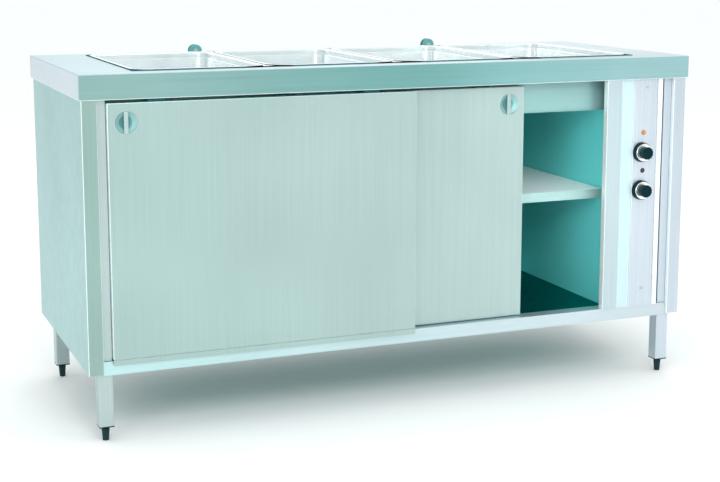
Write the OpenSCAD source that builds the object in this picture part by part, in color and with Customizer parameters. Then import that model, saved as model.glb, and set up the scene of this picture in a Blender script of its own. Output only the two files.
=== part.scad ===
// Bain marie hot cupboard: a four-container water bath over a heated cupboard with sliding doors.
// Millimetres. The front faces -Y, +X runs to the right, and Z = 0 is the floor.

/* [Worktop] */
// Length of the worktop
top_length = 1600; // [1540:10:1800]
// Depth of the worktop, front to back
top_depth = 650; // [640:5:760]
// Height of the worktop above the floor
top_height = 855; // [845:5:900]
// Height of the turned-down aprons
apron_height = 58; // [50:1:62]
// Thickness of the steel sheet
sheet = 1.5; // [1:0.1:1.6]

/* [Water bath] */
// Width of one container's rim, along the worktop
pan_width = 325; // [300:1:330]
// Length of one container's rim, front to back
pan_length = 530; // [480:1:535]
// Depth of a container below its rim
pan_depth = 100; // [60:1:105]
// Wall of a container
pan_wall = 1.2; // [0.8:0.1:1.5]
// Width of a container's rim
pan_rim = 10; // [9:0.5:12]
// Corner radius of a container's rim
pan_corner = 50; // [34:1:52]
// Gap between the rims of two containers
pan_gap = 9; // [6:1:14]
// Depth of the tank inside
tank_depth = 121; // [118:1:128]
// Height of the tank's raised rim above the worktop
tank_rim_height = 1.6; // [1.6:0.1:3]
// Width of the divider bars
bar_width = 24; // [22:1:25]
// Diameter of the tubular heating elements
element_diameter = 8.5; // [6:0.5:9]

/* [Cupboard] */
// How far the side panels stand in from the worktop's ends
side_inset = 5; // [4.5:0.5:10]
// How far the cupboard's front stands back from the apron's face
front_inset = 4; // [3.5:0.5:8]
// How far the back panel's face stands in from the worktop's rear edge
rear_inset = 12; // [10:1:20]
// Width of the fold of a side panel round the front
fold_width = 35; // [30:1:40]
// Height of the cupboard's underside above the floor
body_bottom = 165; // [150:1:175]
// Height of the front rail
rail_height = 33; // [25:1:40]
// Height of the shelf's top face above the floor
shelf_height = 505; // [420:5:560]
// Height of the shelf's front lip
shelf_lip = 24; // [22:1:40]
// Depth of the bath housing's underside below the worktop
housing_drop = 138; // [138:1:155]
// Width of the service compartment between partition and right leg
service_width = 147; // [140:1:180]

/* [Doors] */
// Width of one door
door_width = 758; // [690:1:780]
// Thickness of a door
door_depth = 18; // [16:1:20]
// Gap between the two doors
door_gap = 8; // [7:1:10]
// Depth of the doors' top edge below the worktop
door_top_drop = 66; // [63:1:75]
// How far the right door stands open in the photographed place
right_door_open = 247; // [100:1:290]
// Diameter of the round finger pull
pull_diameter = 58; // [50:1:64]
// Depth of the finger pull's cup
pull_depth = 13; // [10:1:14]
// Width of the bar across the finger pull
pull_bar = 11; // [8:0.5:14]

/* [Controls] */
// Width of the jamb post right of the opening
jamb_width = 44; // [36:1:46]
// Width of the control panel
panel_width = 72; // [66:1:74]
// Diameter of a knob's skirt
knob_diameter = 52; // [40:1:56]
// How far a knob stands out of the panel
knob_height = 32; // [26:1:36]
// Diameter of a knob's grip
grip_diameter = 34; // [26:1:38]
// Depth of the upper knob's axis below the worktop
upper_knob_drop = 249; // [240:1:260]
// Distance between the two knobs
knob_pitch = 100; // [90:1:110]
// Diameter of a pilot lamp's lens
lamp_diameter = 9; // [7:0.5:12]

/* [Legs] */
// Side of the square legs
leg_size = 35; // [30:1:40]
// How far the front legs stand back from the cupboard's front
leg_setback = 12; // [10:0.5:16]
// Height of the legs' lower ends above the floor
leg_bottom = 37; // [34:1:45]
// Diameter of the feet at their top
foot_diameter = 19; // [17:1:28]
// Height of the feet
foot_height = 30; // [24:1:32]

/* [Rear lugs] */
// Distance between the two rear lugs
lug_spacing = 700; // [500:10:900]
// Width of a lug
lug_width = 35; // [28:1:44]
// How far the lugs stand out behind the worktop
lug_reach = 24; // [24:0.5:32]

/* [Hidden] */
$fn = 64;
e = 0.01;
touch_gap = 0.3;
x_end = top_length / 2;
y_end = top_depth / 2;
plate_under = top_height - sheet;
apron_bottom = top_height - apron_height;

// Body of the cupboard
rail_drop = 5;
rail_leg_gap = 3;
rail_top_flange = 38;
rail_low_flange = 22;
body_x = x_end - side_inset;
front_y = -y_end + front_inset;
back_y = y_end - rear_inset;
rail_top = body_bottom + rail_height - rail_drop;
rail_bottom = body_bottom - rail_drop;
rail_y = front_y + leg_setback - rail_leg_gap - sheet;
floor_top = rail_top - sheet;
floor_under = floor_top - sheet;

// Legs and frame
leg_side_inset = 22.5;
leg_rear_gap = 37.5;
leg_out = body_x - leg_side_inset;
leg_in = leg_out - leg_size;
leg_front = front_y + leg_setback;
leg_back = back_y - sheet - leg_rear_gap;
leg_x = leg_out - leg_size / 2;
leg_y_front = leg_front + leg_size / 2;
leg_y_rear = leg_back - leg_size / 2;
tube = 25;
tube_wall = 1.5;
cap_plate = 3;
cap_plug = 15;
stem_diameter = 10;
stem_play = 0.08;
stem_length = 60;

// Bath
pan_pitch = pan_width + pan_gap;
well_length = 4 * pan_width + 3 * pan_gap;
rim_overhang = 4.5;
tank_in_x = well_length / 2 - rim_overhang;
tank_in_y = pan_length / 2 - rim_overhang;
tank_top = top_height + tank_rim_height;
tank_floor = plate_under - tank_depth;
tank_lap = 4;
pan_seat = tank_top + touch_gap;
rim_corner_ease = 12;
pan_body_corner = pan_corner - pan_rim - rim_corner_ease;
bar_height = 10;
element_rise = 11;
element_z = tank_floor + element_rise;
element_end_gap = 10;
element_run_pitch = 120;
bath_run_x = tank_in_x - element_end_gap - (element_run_pitch + element_diameter) / 2;
bath_run_y = [for (i = [-1.5 : 1.5]) i * element_run_pitch];
drain_side_gap = 25;
drain_x = tank_in_x - drain_side_gap;
drain_y = 190;
drain_bore = 25;
drain_tail = 33;

// Housing and liners
housing_gap = 5;
housing_rear_gap = 8;
liner_rear_gap = 13;
header_head_room = 30;
housing_bottom = top_height - housing_drop;
housing_front = -pan_length / 2 - housing_gap;
housing_back = pan_length / 2 + housing_rear_gap;
header_top = plate_under - header_head_room;
header_lip = 5;
partition_x = leg_in - service_width;
rear_tube_gap = 2;
rear_tube_y = tank_in_y + sheet + rear_tube_gap;
floor_back = back_y - 2 * sheet;
cupboard_element_rise = 22;
cupboard_element_inset = 60;
cupboard_element_pitch = 36;
cupboard_element_left_gap = 160;
cupboard_saddle_gap = 40;
guard_left_gap = 120;
guard_reach = 78;
guard_height = 42;
bracket_leaf = 20;
bracket_front_gap = 40;
bracket_rear_gap = 30;
shelf_edge = 20;
shelf_play = 2;
shelf_setback = 12;
liner_front = housing_front;
liner_back = housing_back - liner_rear_gap;

// Doors and track
opening_left = -leg_in;
door_y_outer = front_y + door_depth / 2;
door_y_inner = door_y_outer + door_depth + door_gap;
door_skin = 1.2;
door_rail_gap = 3;
door_top = top_height - door_top_drop;
door_bottom = rail_top + door_rail_gap;
door_overlap_lip = 13;
door_play = 0.5;
jamb_reveal = 31;
jamb_overlap = 18;
jamb_x = partition_x - jamb_reveal;
left_door_x = opening_left + door_play;
right_door_closed_x = jamb_x + jamb_overlap - door_width;
right_door_x = right_door_closed_x - right_door_open;
pull_inset = 43;
pull_drop = 45;
pull_flange = 1;
track_rise = 3;
track_bottom = apron_bottom + track_rise;
track_top = plate_under - tube;
track_width = door_depth;
track_slot = 7;
track_wall = 1.5;
roller_diameter = 19;
roller_width = 4;
roller_play = 0.35;
hanger_inset = 115;
hanger_width = 40;
hanger_plate = 2;
hanger_drop = 40;
hanger_foot = 10;
hanger_head = 5;
axle_diameter = 5;

// Control column
filler_gap = 0.8;
filler_width = 35.4;
panel_left_gap = 0.8;
panel_right_gap = 1.5;
panel_recess = 4;
panel_fold = 14;
panel_head_room = 28;
control_offset = -4;
knob_offset = -5.5;
screw_offset = 4;
strip_leg_gap = 9.5;
filler_x = jamb_x + jamb_width + filler_gap;
panel_x = filler_x + filler_width + panel_left_gap;
end_strip_x = panel_x + panel_width + panel_right_gap;
end_strip_width = leg_in - end_strip_x - strip_leg_gap;
panel_y = front_y + panel_recess;
panel_top = plate_under - panel_head_room;
control_x = panel_x + panel_width / 2 + control_offset;
knob_x = control_x + knob_offset;
screw_x = panel_x + panel_width / 2 + screw_offset;
upper_knob_z = top_height - upper_knob_drop;
lower_knob_z = upper_knob_z - knob_pitch;
lamp_rise = 51;
skirt_height = 12;
skirt_taper = 2;
ring_height = 4;
flutes = 12;
flute_diameter = 4;
flute_depth = 1;
ring_diameter = knob_diameter - 6;
knob_clear = 0.5;
spindle_diameter = 6;
thermostat_depth = 32;

// Rear lugs
lug_plate = 3;
ear = 3;
ear_gap = 14;

// A box from its lowest and its highest corner
module span(lo, hi) {
    translate(lo)
        cube([hi[0] - lo[0], hi[1] - lo[1], hi[2] - lo[2]]);
}

// A flat rectangle with round corners, centred
module round_rect(width, length, radius) {
    square([width - 2 * radius, length], center = true);
    square([width, length - 2 * radius], center = true);
    for (sx = [-1, 1])
        for (sy = [-1, 1])
            translate([sx * (width / 2 - radius), sy * (length / 2 - radius)])
                circle(r = radius);
}

// A cylinder along +Y from the point at
module rod_y(at, diameter, length) {
    translate(at)
        rotate([-90, 0, 0])
            cylinder(d = diameter, h = length);
}

// A cylinder along +X from the point at
module rod_x(at, diameter, length) {
    translate(at)
        rotate([0, 90, 0])
            cylinder(d = diameter, h = length);
}

// A square tube along X, between two ends, with its lowest front corner at y and z
module tube_x(x0, x1, y, z, size, wall) {
    difference() {
        span([x0, y, z], [x1, y + size, z + size]);
        span([x0 - 1, y + wall, z + wall], [x1 + 1, y + size - wall, z + size - wall]);
    }
}

// A square tube along Y
module tube_y(x, y0, y1, z, size, wall) {
    difference() {
        span([x, y0, z], [x + size, y1, z + size]);
        span([x + wall, y0 - 1, z + wall], [x + size - wall, y1 + 1, z + size - wall]);
    }
}

// A square tube along Z
module tube_z(x, y, z0, z1, size, wall) {
    difference() {
        span([x, y, z0], [x + size, y + size, z1]);
        span([x + wall, y + wall, z0 - 1], [x + size - wall, y + size - wall, z1 + 1]);
    }
}

// A half turn of a tubular element in a level plane, joining two runs along X
module return_bend(x, y0, y1, z, diameter, side) {
    translate([x, (y0 + y1) / 2, z])
        rotate([0, 0, side > 0 ? -90 : 90])
            rotate_extrude(angle = 180)
                translate([(y1 - y0) / 2, 0])
                    circle(d = diameter);
}

// Worktop with its aprons, its return lips front and rear, and the opening for the bath
module counter_top() {
    hole_x = tank_in_x + sheet;
    hole_y = tank_in_y + sheet;
    lip = 8;
    lip_x = body_x - fold_width - 2;
    color("lightcyan") {
        difference() {
            span([-x_end, -y_end, apron_bottom], [x_end, y_end, top_height]);
            span([-x_end + sheet, -y_end + sheet, apron_bottom - 1], [x_end - sheet, y_end - sheet, plate_under]);
            span([-hole_x, -hole_y, plate_under - 1], [hole_x, hole_y, top_height + 1]);
        }
        span([-lip_x, -y_end + sheet - e, apron_bottom], [lip_x, -y_end + lip, apron_bottom + sheet]);
        span([-lip_x, y_end - lip, apron_bottom], [lip_x, y_end - sheet + e, apron_bottom + sheet]);
    }
}

// Open tank hanging in the opening, with a rim folded over the worktop and rests for the bars
module bath_tank() {
    rim_x = tank_in_x + sheet + tank_lap;
    rim_y = tank_in_y + sheet + tank_lap;
    out_x = tank_in_x + sheet;
    out_y = tank_in_y + sheet;
    bar_under = tank_top - bar_height;
    color("paleturquoise")
        difference() {
            union() {
                span([-out_x, -out_y, tank_floor - sheet], [out_x, out_y, tank_top]);
                span([-rim_x, -rim_y, top_height], [rim_x, rim_y, tank_top]);
            }
            difference() {
                span([-tank_in_x, -tank_in_y, tank_floor], [tank_in_x, tank_in_y, tank_top + 1]);
                for (i = [-1, 0, 1])
                    for (s = [-1, 1])
                        translate([i * pan_pitch, s * (tank_in_y - 2), bar_under - 1])
                            cube([bar_width - 4, 4 + 2 * e, 2], center = true);
            }
            translate([drain_x, drain_y, tank_floor - sheet - 1])
                cylinder(d = drain_tail + 0.2, h = sheet + 2);
            for (y = [bath_run_y[0], bath_run_y[3]])
                rod_x([tank_in_x - 1, y, element_z], element_diameter + 0.2, sheet + 2);
        }
}

// Inverted channels that carry the long edges of the containers' rims
module pan_divider_bars() {
    color("white")
        for (i = [-1, 0, 1])
            translate([i * pan_pitch, 0, tank_top - bar_height])
                difference() {
                    span([-bar_width / 2, -tank_in_y, 0], [bar_width / 2, tank_in_y, bar_height]);
                    span([-bar_width / 2 + sheet, -tank_in_y - 1, -1],
                        [bar_width / 2 - sheet, tank_in_y + 1, bar_height - sheet]);
                }
}

// Tubular element in four runs on the tank floor, with its ends through the right wall, on saddles
module bath_heating_element() {
    left = -bath_run_x;
    right = bath_run_x - element_run_pitch / 2;
    saddle_x = [-bath_run_x * 0.8, 0, bath_run_x * 0.7];
    color("dimgray") {
        for (i = [0, 3])
            rod_x([left, bath_run_y[i], element_z], element_diameter, tank_in_x + 30 - left);
        for (i = [1, 2])
            rod_x([left, bath_run_y[i], element_z], element_diameter, right - left);
        return_bend(left, bath_run_y[0], bath_run_y[1], element_z, element_diameter, -1);
        return_bend(left, bath_run_y[2], bath_run_y[3], element_z, element_diameter, -1);
        return_bend(right, bath_run_y[1], bath_run_y[2], element_z, element_diameter, 1);
    }
    color("silver")
        for (x = saddle_x)
            difference() {
                span([x - 5, bath_run_y[0] - 12, tank_floor], [x + 5, bath_run_y[3] + 12, element_z + 2]);
                for (y = bath_run_y)
                    rod_x([x - 6, y, element_z], element_diameter + 0.1, 12);
                for (y = bath_run_y)
                    span([x - 6, y - element_diameter / 2, element_z], [x + 6, y + element_diameter / 2, element_z + 3]);
            }
}

// Slab of mineral wool under the tank
module bath_insulation() {
    color("khaki")
        difference() {
            span([-tank_in_x, -tank_in_y, housing_bottom + sheet], [tank_in_x, tank_in_y, tank_floor - sheet]);
            translate([drain_x, drain_y, housing_bottom])
                cylinder(d = drain_tail + 4, h = tank_floor - housing_bottom);
        }
}

// Tray over the cupboard: its front is the band seen over the opening, with a lip at its lower edge
module bath_housing() {
    color("cadetblue")
        difference() {
            union() {
                span([-leg_in, housing_front - header_lip, housing_bottom],
                    [leg_in, housing_back, housing_bottom + sheet]);
                span([-leg_in, housing_front, housing_bottom], [leg_in, housing_front + sheet, header_top]);
            }
            translate([drain_x, drain_y, housing_bottom - 1])
                cylinder(d = drain_tail + 4, h = sheet + 2);
        }
}

// Flanged waste in the tank floor
module drain_fitting() {
    tail = 30;
    color("silver")
        translate([drain_x, drain_y, tank_floor])
            difference() {
                union() {
                    cylinder(d = drain_tail + 12, h = 2);
                    translate([0, 0, -tail])
                        cylinder(d = drain_tail, h = tail + e);
                }
                translate([0, 0, -tail - 1])
                    cylinder(d = drain_bore, h = tail + 4);
            }
}

// Drain pipe: one length from the waste to the valve, one from the valve down through the floor
module drain_pipe() {
    wall = 1.5;
    waste_end = tank_floor - 30;
    color("silver")
        for (z = [[drain_valve_top(), waste_end], [rail_bottom - 2, drain_valve_bottom()]])
            translate([drain_x, drain_y, z[0]])
                difference() {
                    cylinder(d = drain_bore + 2 * wall, h = z[1] - z[0]);
                    translate([0, 0, -1])
                        cylinder(d = drain_bore, h = z[1] - z[0] + 2);
                }
}

function drain_valve_z() = body_bottom + 135;
function drain_valve_top() = drain_valve_z() + 32;
function drain_valve_bottom() = drain_valve_z() - 32;

// Ball valve body with its stem towards the back
module drain_valve() {
    z = drain_valve_z();
    color("goldenrod")
        difference() {
            union() {
                translate([drain_x, drain_y, z - 32])
                    cylinder(d = 36, h = 64);
                translate([drain_x, drain_y, z])
                    sphere(d = 46);
                rod_y([drain_x, drain_y, z], 16, 34);
                rod_y([drain_x, drain_y, z], 8, 44);
            }
            translate([drain_x, drain_y, z - 33])
                cylinder(d = drain_bore - 5, h = 66);
        }
}

// Quarter-turn lever, level when the valve is shut
module drain_lever() {
    lever = 78;
    y = drain_y + 35;
    z = drain_valve_z();
    color("firebrick")
        difference() {
            union() {
                rod_y([drain_x, y, z], 20, 4);
                span([drain_x, y, z - 7], [drain_x + lever, y + 4, z + 7]);
                rod_y([drain_x + lever, y, z], 14, 4);
            }
            rod_y([drain_x, y - 1, z], 8.1, 6);
        }
}

// One gastronorm container, numbered 0 to 3 from the left
module pan(index) {
    x = (index - 1.5) * pan_pitch;
    body_w = pan_width - 2 * pan_rim;
    body_l = pan_length - 2 * pan_rim;
    inner_corner = pan_body_corner - pan_wall;
    color("azure")
        translate([x, 0, pan_seat])
            difference() {
                union() {
                    linear_extrude(pan_wall)
                        round_rect(pan_width, pan_length, pan_corner);
                    translate([0, 0, -pan_depth])
                        linear_extrude(pan_depth + e)
                            round_rect(body_w, body_l, pan_body_corner);
                }
                translate([0, 0, -pan_depth + pan_wall])
                    linear_extrude(pan_depth + pan_wall)
                        round_rect(body_w - 2 * pan_wall, body_l - 2 * pan_wall, inner_corner);
            }
}

// Side panel on the left: outer skin, a fold round the front and the back, and a bottom return
module side_panel() {
    low = body_bottom;
    return_depth = leg_front - front_y - touch_gap;
    color("lightblue") {
        span([-body_x, front_y, low], [-body_x + sheet, back_y, plate_under]);
        span([-body_x, front_y, low], [-body_x + fold_width, front_y + sheet, plate_under]);
        span([-body_x + fold_width - sheet, front_y, low], [-body_x + fold_width, front_y + return_depth, plate_under]);
        span([-body_x, back_y - sheet, low], [-body_x + fold_width, back_y, plate_under]);
        span([-body_x, front_y + 14, low], [-body_x + 15, back_y - 4, low + sheet]);
    }
}

module left_side_panel() {
    side_panel();
}

module right_side_panel() {
    mirror([1, 0, 0])
        side_panel();
}

// Back panel inside the side panels' rear folds, with the valve's access hole and the cable hole
module back_panel() {
    y = floor_back;
    color("lightblue")
        difference() {
            span([-body_x + sheet, y, body_bottom], [body_x - sheet, y + sheet, plate_under]);
            span([partition_x + 16, y - 1, floor_top + 20], [leg_in - 6, y + sheet + 1, drain_valve_z() + 70]);
            rod_y([control_x, y - 1, cable_gland_z()], 16.4, sheet + 2);
        }
}

function cable_gland_z() = drain_valve_z() + 130;

// Floor of the cupboard and the service compartment, cut out round the legs
module cupboard_floor() {
    cut = leg_size + touch_gap;
    color("teal")
        difference() {
            span([-leg_out, rail_y + sheet, floor_under], [leg_out, floor_back, floor_top]);
            for (s = [-1, 1]) {
                span([s > 0 ? leg_in - touch_gap : -leg_out - 1, rail_y - 1, floor_under - 1],
                    [s > 0 ? leg_out + 1 : -leg_in + touch_gap, leg_front + cut, floor_top + 1]);
                span([s > 0 ? leg_in - touch_gap : -leg_out - 1, leg_back - cut, floor_under - 1],
                    [s > 0 ? leg_out + 1 : -leg_in + touch_gap, leg_back + touch_gap, floor_top + 1]);
            }
            translate([drain_x, drain_y, floor_under - 1])
                cylinder(d = drain_bore + 8, h = sheet + 2);
        }
}

// Left wall of the cupboard's inside
module left_liner() {
    color("teal")
        span([-leg_in, liner_front, floor_top], [-leg_in + sheet, liner_back, housing_bottom]);
}

// Right wall of the cupboard's inside, which parts it from the service compartment
module right_partition() {
    color("teal")
        span([partition_x, liner_front, floor_top], [partition_x + sheet, liner_back, housing_bottom]);
}

// Rear wall of the cupboard's inside
module back_liner() {
    color("teal")
        span([-leg_in, liner_back, floor_top], [partition_x + sheet, liner_back + sheet, housing_bottom]);
}

// Rail under the doors, folded back at its top and bottom
module front_bottom_rail() {
    end = body_x - fold_width - touch_gap;
    color("powderblue") {
        span([-end, rail_y, rail_bottom], [end, rail_y + sheet, rail_top]);
        span([-leg_in, rail_y, floor_top], [leg_in, rail_y + rail_top_flange, rail_top]);
        span([-leg_in, rail_y, rail_bottom], [leg_in, rail_y + rail_low_flange, rail_bottom + sheet]);
    }
}

// Rear and side tubes under the floor
module lower_frame_rails() {
    z = floor_under - tube;
    color("silver") {
        tube_x(-leg_in, leg_in, leg_back - tube, z, tube, tube_wall);
        for (s = [-1, 1])
            tube_y(s > 0 ? leg_out - tube : -leg_out, leg_front + leg_size, leg_back - leg_size, z, tube, tube_wall);
    }
}

// Tubes under the worktop, between the legs
module top_frame_rails() {
    z = plate_under - tube;
    color("silver") {
        tube_x(-leg_in, leg_in, rear_tube_y, z, tube, tube_wall);
        tube_x(-leg_in, leg_in, leg_front, z, tube, tube_wall);
        for (s = [-1, 1])
            tube_y(s > 0 ? leg_out - tube : -leg_out, leg_front + leg_size, leg_back - leg_size, z, tube, tube_wall);
    }
}

// Two square legs, one at each end
module legs(y) {
    color("paleturquoise")
        for (s = [-1, 1])
            tube_z(s * leg_x - leg_size / 2, y - leg_size / 2, leg_bottom, plate_under, leg_size, tube_wall);
}

module front_legs() {
    legs(leg_y_front);
}

module rear_legs() {
    legs(leg_y_rear);
}

// Plate and plug in the lower end of each leg, bored for the foot's stem
module leg_end_caps() {
    plug = leg_size - 2 * tube_wall - 0.2;
    color("darkslategray")
        for (s = [-1, 1])
            for (y = [leg_y_front, leg_y_rear])
                translate([s * leg_x, y, leg_bottom])
                    difference() {
                        union() {
                            span([-leg_size / 2, -leg_size / 2, -cap_plate], [leg_size / 2, leg_size / 2, 0]);
                            span([-plug / 2, -plug / 2, -1], [plug / 2, plug / 2, cap_plug]);
                        }
                        translate([0, 0, -cap_plate - 1])
                            cylinder(d = stem_diameter + 2 * stem_play, h = cap_plate + cap_plug + 2);
                    }
}

// Adjustable foot: a tapered round foot on a stem that runs in the cap's bore
module foot(sx, y) {
    flat = 6;
    color("darkslategray")
        translate([sx * leg_x, y, 0]) {
            cylinder(d = foot_diameter, h = flat);
            translate([0, 0, flat - e])
                cylinder(d1 = foot_diameter, d2 = foot_diameter - 5, h = foot_height - 2 * flat + 2 * e);
            translate([0, 0, foot_height - flat])
                cylinder(d = foot_diameter - 2, h = flat);
            cylinder(d = stem_diameter, h = foot_height + stem_length);
        }
}

module front_left_foot() {
    foot(-1, leg_y_front);
}

module front_right_foot() {
    foot(1, leg_y_front);
}

module rear_left_foot() {
    foot(-1, leg_y_rear);
}

module rear_right_foot() {
    foot(1, leg_y_rear);
}

// Two C-channels side by side under one plate, open along the bottom for the hangers
module door_track() {
    end = jamb_x + jamb_width;
    front = door_y_outer - track_width / 2;
    back = door_y_inner + track_width / 2;
    wall = track_wall;
    color("gray") {
        span([opening_left, front, track_top - sheet], [end, back, track_top]);
        for (y = [door_y_outer, door_y_inner])
            difference() {
                span([opening_left, y - track_width / 2, track_bottom], [end, y + track_width / 2, track_top - sheet + e]);
                span([opening_left - 1, y - track_width / 2 + wall, track_bottom + wall],
                    [end + 1, y + track_width / 2 - wall, track_top - sheet]);
                span([opening_left - 1, y - track_slot / 2, track_bottom - 1],
                    [end + 1, y + track_slot / 2, track_bottom + wall + 1]);
            }
    }
}

// Guide block on the rail between the two doors
module door_guide() {
    mid = (opening_left + jamb_x) / 2;
    y = door_y_outer + door_depth / 2;
    play = 2;
    color("whitesmoke")
        span([mid - 30, y + play, rail_top], [mid + 30, y + door_gap - play, rail_top + 26]);
}

// Outer skin of a door with its folded edges; the round hole takes the pull. The lip hangs over the rail
module door_skin_shape(x, y, lip, pull_x) {
    bottom = door_bottom - lip;
    color("paleturquoise")
        difference() {
            union() {
                span([x, y - door_depth / 2, bottom], [x + door_width, y - door_depth / 2 + door_skin, door_top]);
                difference() {
                    span([x, y - door_depth / 2, door_bottom], [x + door_width, y + door_depth / 2, door_top]);
                    span([x + door_skin, y - door_depth / 2 - 1, door_bottom + door_skin],
                        [x + door_width - door_skin, y + door_depth / 2 + 1, door_top - door_skin]);
                }
            }
            rod_y([pull_x, y - door_depth / 2 - 1, door_top - pull_drop], pull_diameter - 3, door_skin + 2);
            for (h = hanger_places(x))
                span([h - hanger_width / 2 - 1, y - hanger_plate, door_top - door_skin - 1],
                    [h + hanger_width / 2 + 1, y + hanger_plate, door_top + 1]);
        }
}

function hanger_places(x) = [x + hanger_inset, x + door_width - hanger_inset];

// Inner skin that closes the back of a door, inside its folded edges
module door_inner_shape(x, y) {
    color("cadetblue")
        span([x + door_skin, y + door_depth / 2 - door_skin, door_bottom + door_skin],
            [x + door_width - door_skin, y + door_depth / 2, door_top - door_skin]);
}

// Round cup let into the door, with a flange in front and an upright bar across its mouth
module door_pull_shape(pull_x, y) {
    wall = 1.2;
    cup = pull_diameter - 5;
    face = y - door_depth / 2;
    z = door_top - pull_drop;
    color("white") {
        difference() {
            union() {
                rod_y([pull_x, face - pull_flange, z], pull_diameter, pull_flange);
                rod_y([pull_x, face - e, z], cup, pull_depth);
            }
            rod_y([pull_x, face - pull_flange - 1, z], cup - 2 * wall, pull_depth + pull_flange + 1 - wall - e);
        }
        intersection() {
            span([pull_x - pull_bar / 2, face - pull_flange, z - cup / 2], [pull_x + pull_bar / 2, face + 2, z + cup / 2]);
            rod_y([pull_x, face - pull_flange, z], cup - wall, pull_depth);
        }
    }
}

// Two hanger plates on top of a door, each with a pair of rollers on an axle
module door_hangers_shape(x, y) {
    axle_z = track_bottom + track_wall + roller_diameter / 2 + touch_gap;
    play = hanger_plate / 2 + roller_play;
    for (h = hanger_places(x)) {
        color("silver")
            difference() {
                span([h - hanger_width / 2, y - hanger_plate / 2, door_top - hanger_drop],
                    [h + hanger_width / 2, y + hanger_plate / 2, axle_z + hanger_head]);
                rod_y([h, y - 2, axle_z], axle_diameter + 0.1, 4);
            }
        color("silver")
            span([h - hanger_width / 2, y + hanger_plate / 2, door_top - hanger_drop],
                [h + hanger_width / 2, y + door_depth / 2 - door_skin, door_top - hanger_drop + hanger_foot]);
        color("dimgray")
            rod_y([h, y - play - roller_width, axle_z], axle_diameter, 2 * (play + roller_width));
        color("whitesmoke")
            for (s = [-1, 1])
                difference() {
                    rod_y([h, s > 0 ? y + play : y - play - roller_width, axle_z], roller_diameter, roller_width);
                    rod_y([h, y - track_width, axle_z], axle_diameter + 0.1, 2 * track_width);
                }
    }
}

module left_door() {
    door_skin_shape(left_door_x, door_y_outer, door_overlap_lip, left_door_x + pull_inset);
}

module left_door_inner() {
    door_inner_shape(left_door_x, door_y_outer);
}

module left_door_pull() {
    door_pull_shape(left_door_x + pull_inset, door_y_outer);
}

module left_door_hangers() {
    door_hangers_shape(left_door_x, door_y_outer);
}

module right_door() {
    door_skin_shape(right_door_x, door_y_inner, 0, right_door_x + door_width - pull_inset);
}

module right_door_inner() {
    door_inner_shape(right_door_x, door_y_inner);
}

module right_door_pull() {
    door_pull_shape(right_door_x + door_width - pull_inset, door_y_inner);
}

module right_door_hangers() {
    door_hangers_shape(right_door_x, door_y_inner);
}

// An upright channel with its web in front
module upright(x, width, y, depth, z0, z1) {
    difference() {
        span([x, y, z0], [x + width, y + depth, z1]);
        span([x + sheet, y + sheet, z0 - 1], [x + width - sheet, y + depth + 1, z1 + 1]);
    }
}

// Post right of the door opening
module right_jamb() {
    color("aliceblue")
        upright(jamb_x, jamb_width, front_y, door_depth, rail_top, apron_bottom - touch_gap);
}

// Narrow strips on both sides of the control panel
module filler_strips() {
    color("white") {
        upright(filler_x, filler_width, panel_y, panel_fold, rail_top, panel_top);
        upright(end_strip_x, end_strip_width, panel_y, panel_fold, rail_top, panel_top);
    }
}

// Panel with holes for spindles, lamps and screws
module control_panel() {
    color("aliceblue")
        difference() {
            upright(panel_x, panel_width, panel_y, panel_fold, rail_top, panel_top);
            for (z = [upper_knob_z, lower_knob_z]) {
                rod_y([knob_x, panel_y - 1, z], spindle_diameter + 2, sheet + 2);
                rod_y([control_x, panel_y - 1, z + lamp_rise], lamp_diameter + 0.2, sheet + 2);
            }
            for (z = screw_places())
                rod_y([screw_x, panel_y - 1, z], 4.2, sheet + 2);
        }
}

function screw_places() = [rail_top + 48, apron_bottom - 22];

// Screws that hold the panel
module panel_screws() {
    color("silver")
        for (z = screw_places()) {
            rod_y([screw_x, panel_y - 1.8, z], 8, 1.8);
            rod_y([screw_x, panel_y - e, z], 4, 12);
        }
}

// Knob with a tapered skirt and a fluted grip on a spindle
module knob(z) {
    skirt_y = panel_y - knob_clear - skirt_height;
    grip_y = panel_y - knob_height;
    flute_length = skirt_y - ring_height - grip_y - 1;
    reach = grip_diameter / 2 + flute_diameter / 2 - flute_depth;
    color("darkslategray") {
        translate([knob_x, skirt_y, z])
            rotate([-90, 0, 0])
                cylinder(d1 = knob_diameter - skirt_taper, d2 = knob_diameter, h = skirt_height);
        difference() {
            rod_y([knob_x, grip_y, z], grip_diameter, skirt_y - grip_y + e);
            for (i = [1 : flutes]) {
                turn = i * 360 / flutes;
                rod_y([knob_x + reach * cos(turn), grip_y - 1, z + reach * sin(turn)], flute_diameter, flute_length + 1);
            }
        }
        rod_y([knob_x, skirt_y + skirt_height - e, z], spindle_diameter, knob_clear + sheet + 12);
    }
}

// Pale ring between a knob's skirt and its grip
module knob_ring(z) {
    skirt_y = panel_y - knob_clear - skirt_height;
    color("silver")
        difference() {
            rod_y([knob_x, skirt_y - ring_height, z], ring_diameter, ring_height);
            rod_y([knob_x, skirt_y - ring_height - 1, z], grip_diameter + 0.1, ring_height + 2);
        }
}

module upper_knob() {
    knob(upper_knob_z);
}

module lower_knob() {
    knob(lower_knob_z);
}

module upper_knob_ring() {
    knob_ring(upper_knob_z);
}

module lower_knob_ring() {
    knob_ring(lower_knob_z);
}

// Thermostat bodies behind the panel, bored for the spindles
module thermostats() {
    color("gainsboro")
        for (z = [upper_knob_z, lower_knob_z])
            difference() {
                span([knob_x - 22, panel_y + sheet, z - 18], [knob_x + 22, panel_y + sheet + thermostat_depth, z + 18]);
                rod_y([knob_x, panel_y, z], spindle_diameter + 0.1, sheet + 16);
            }
}

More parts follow.
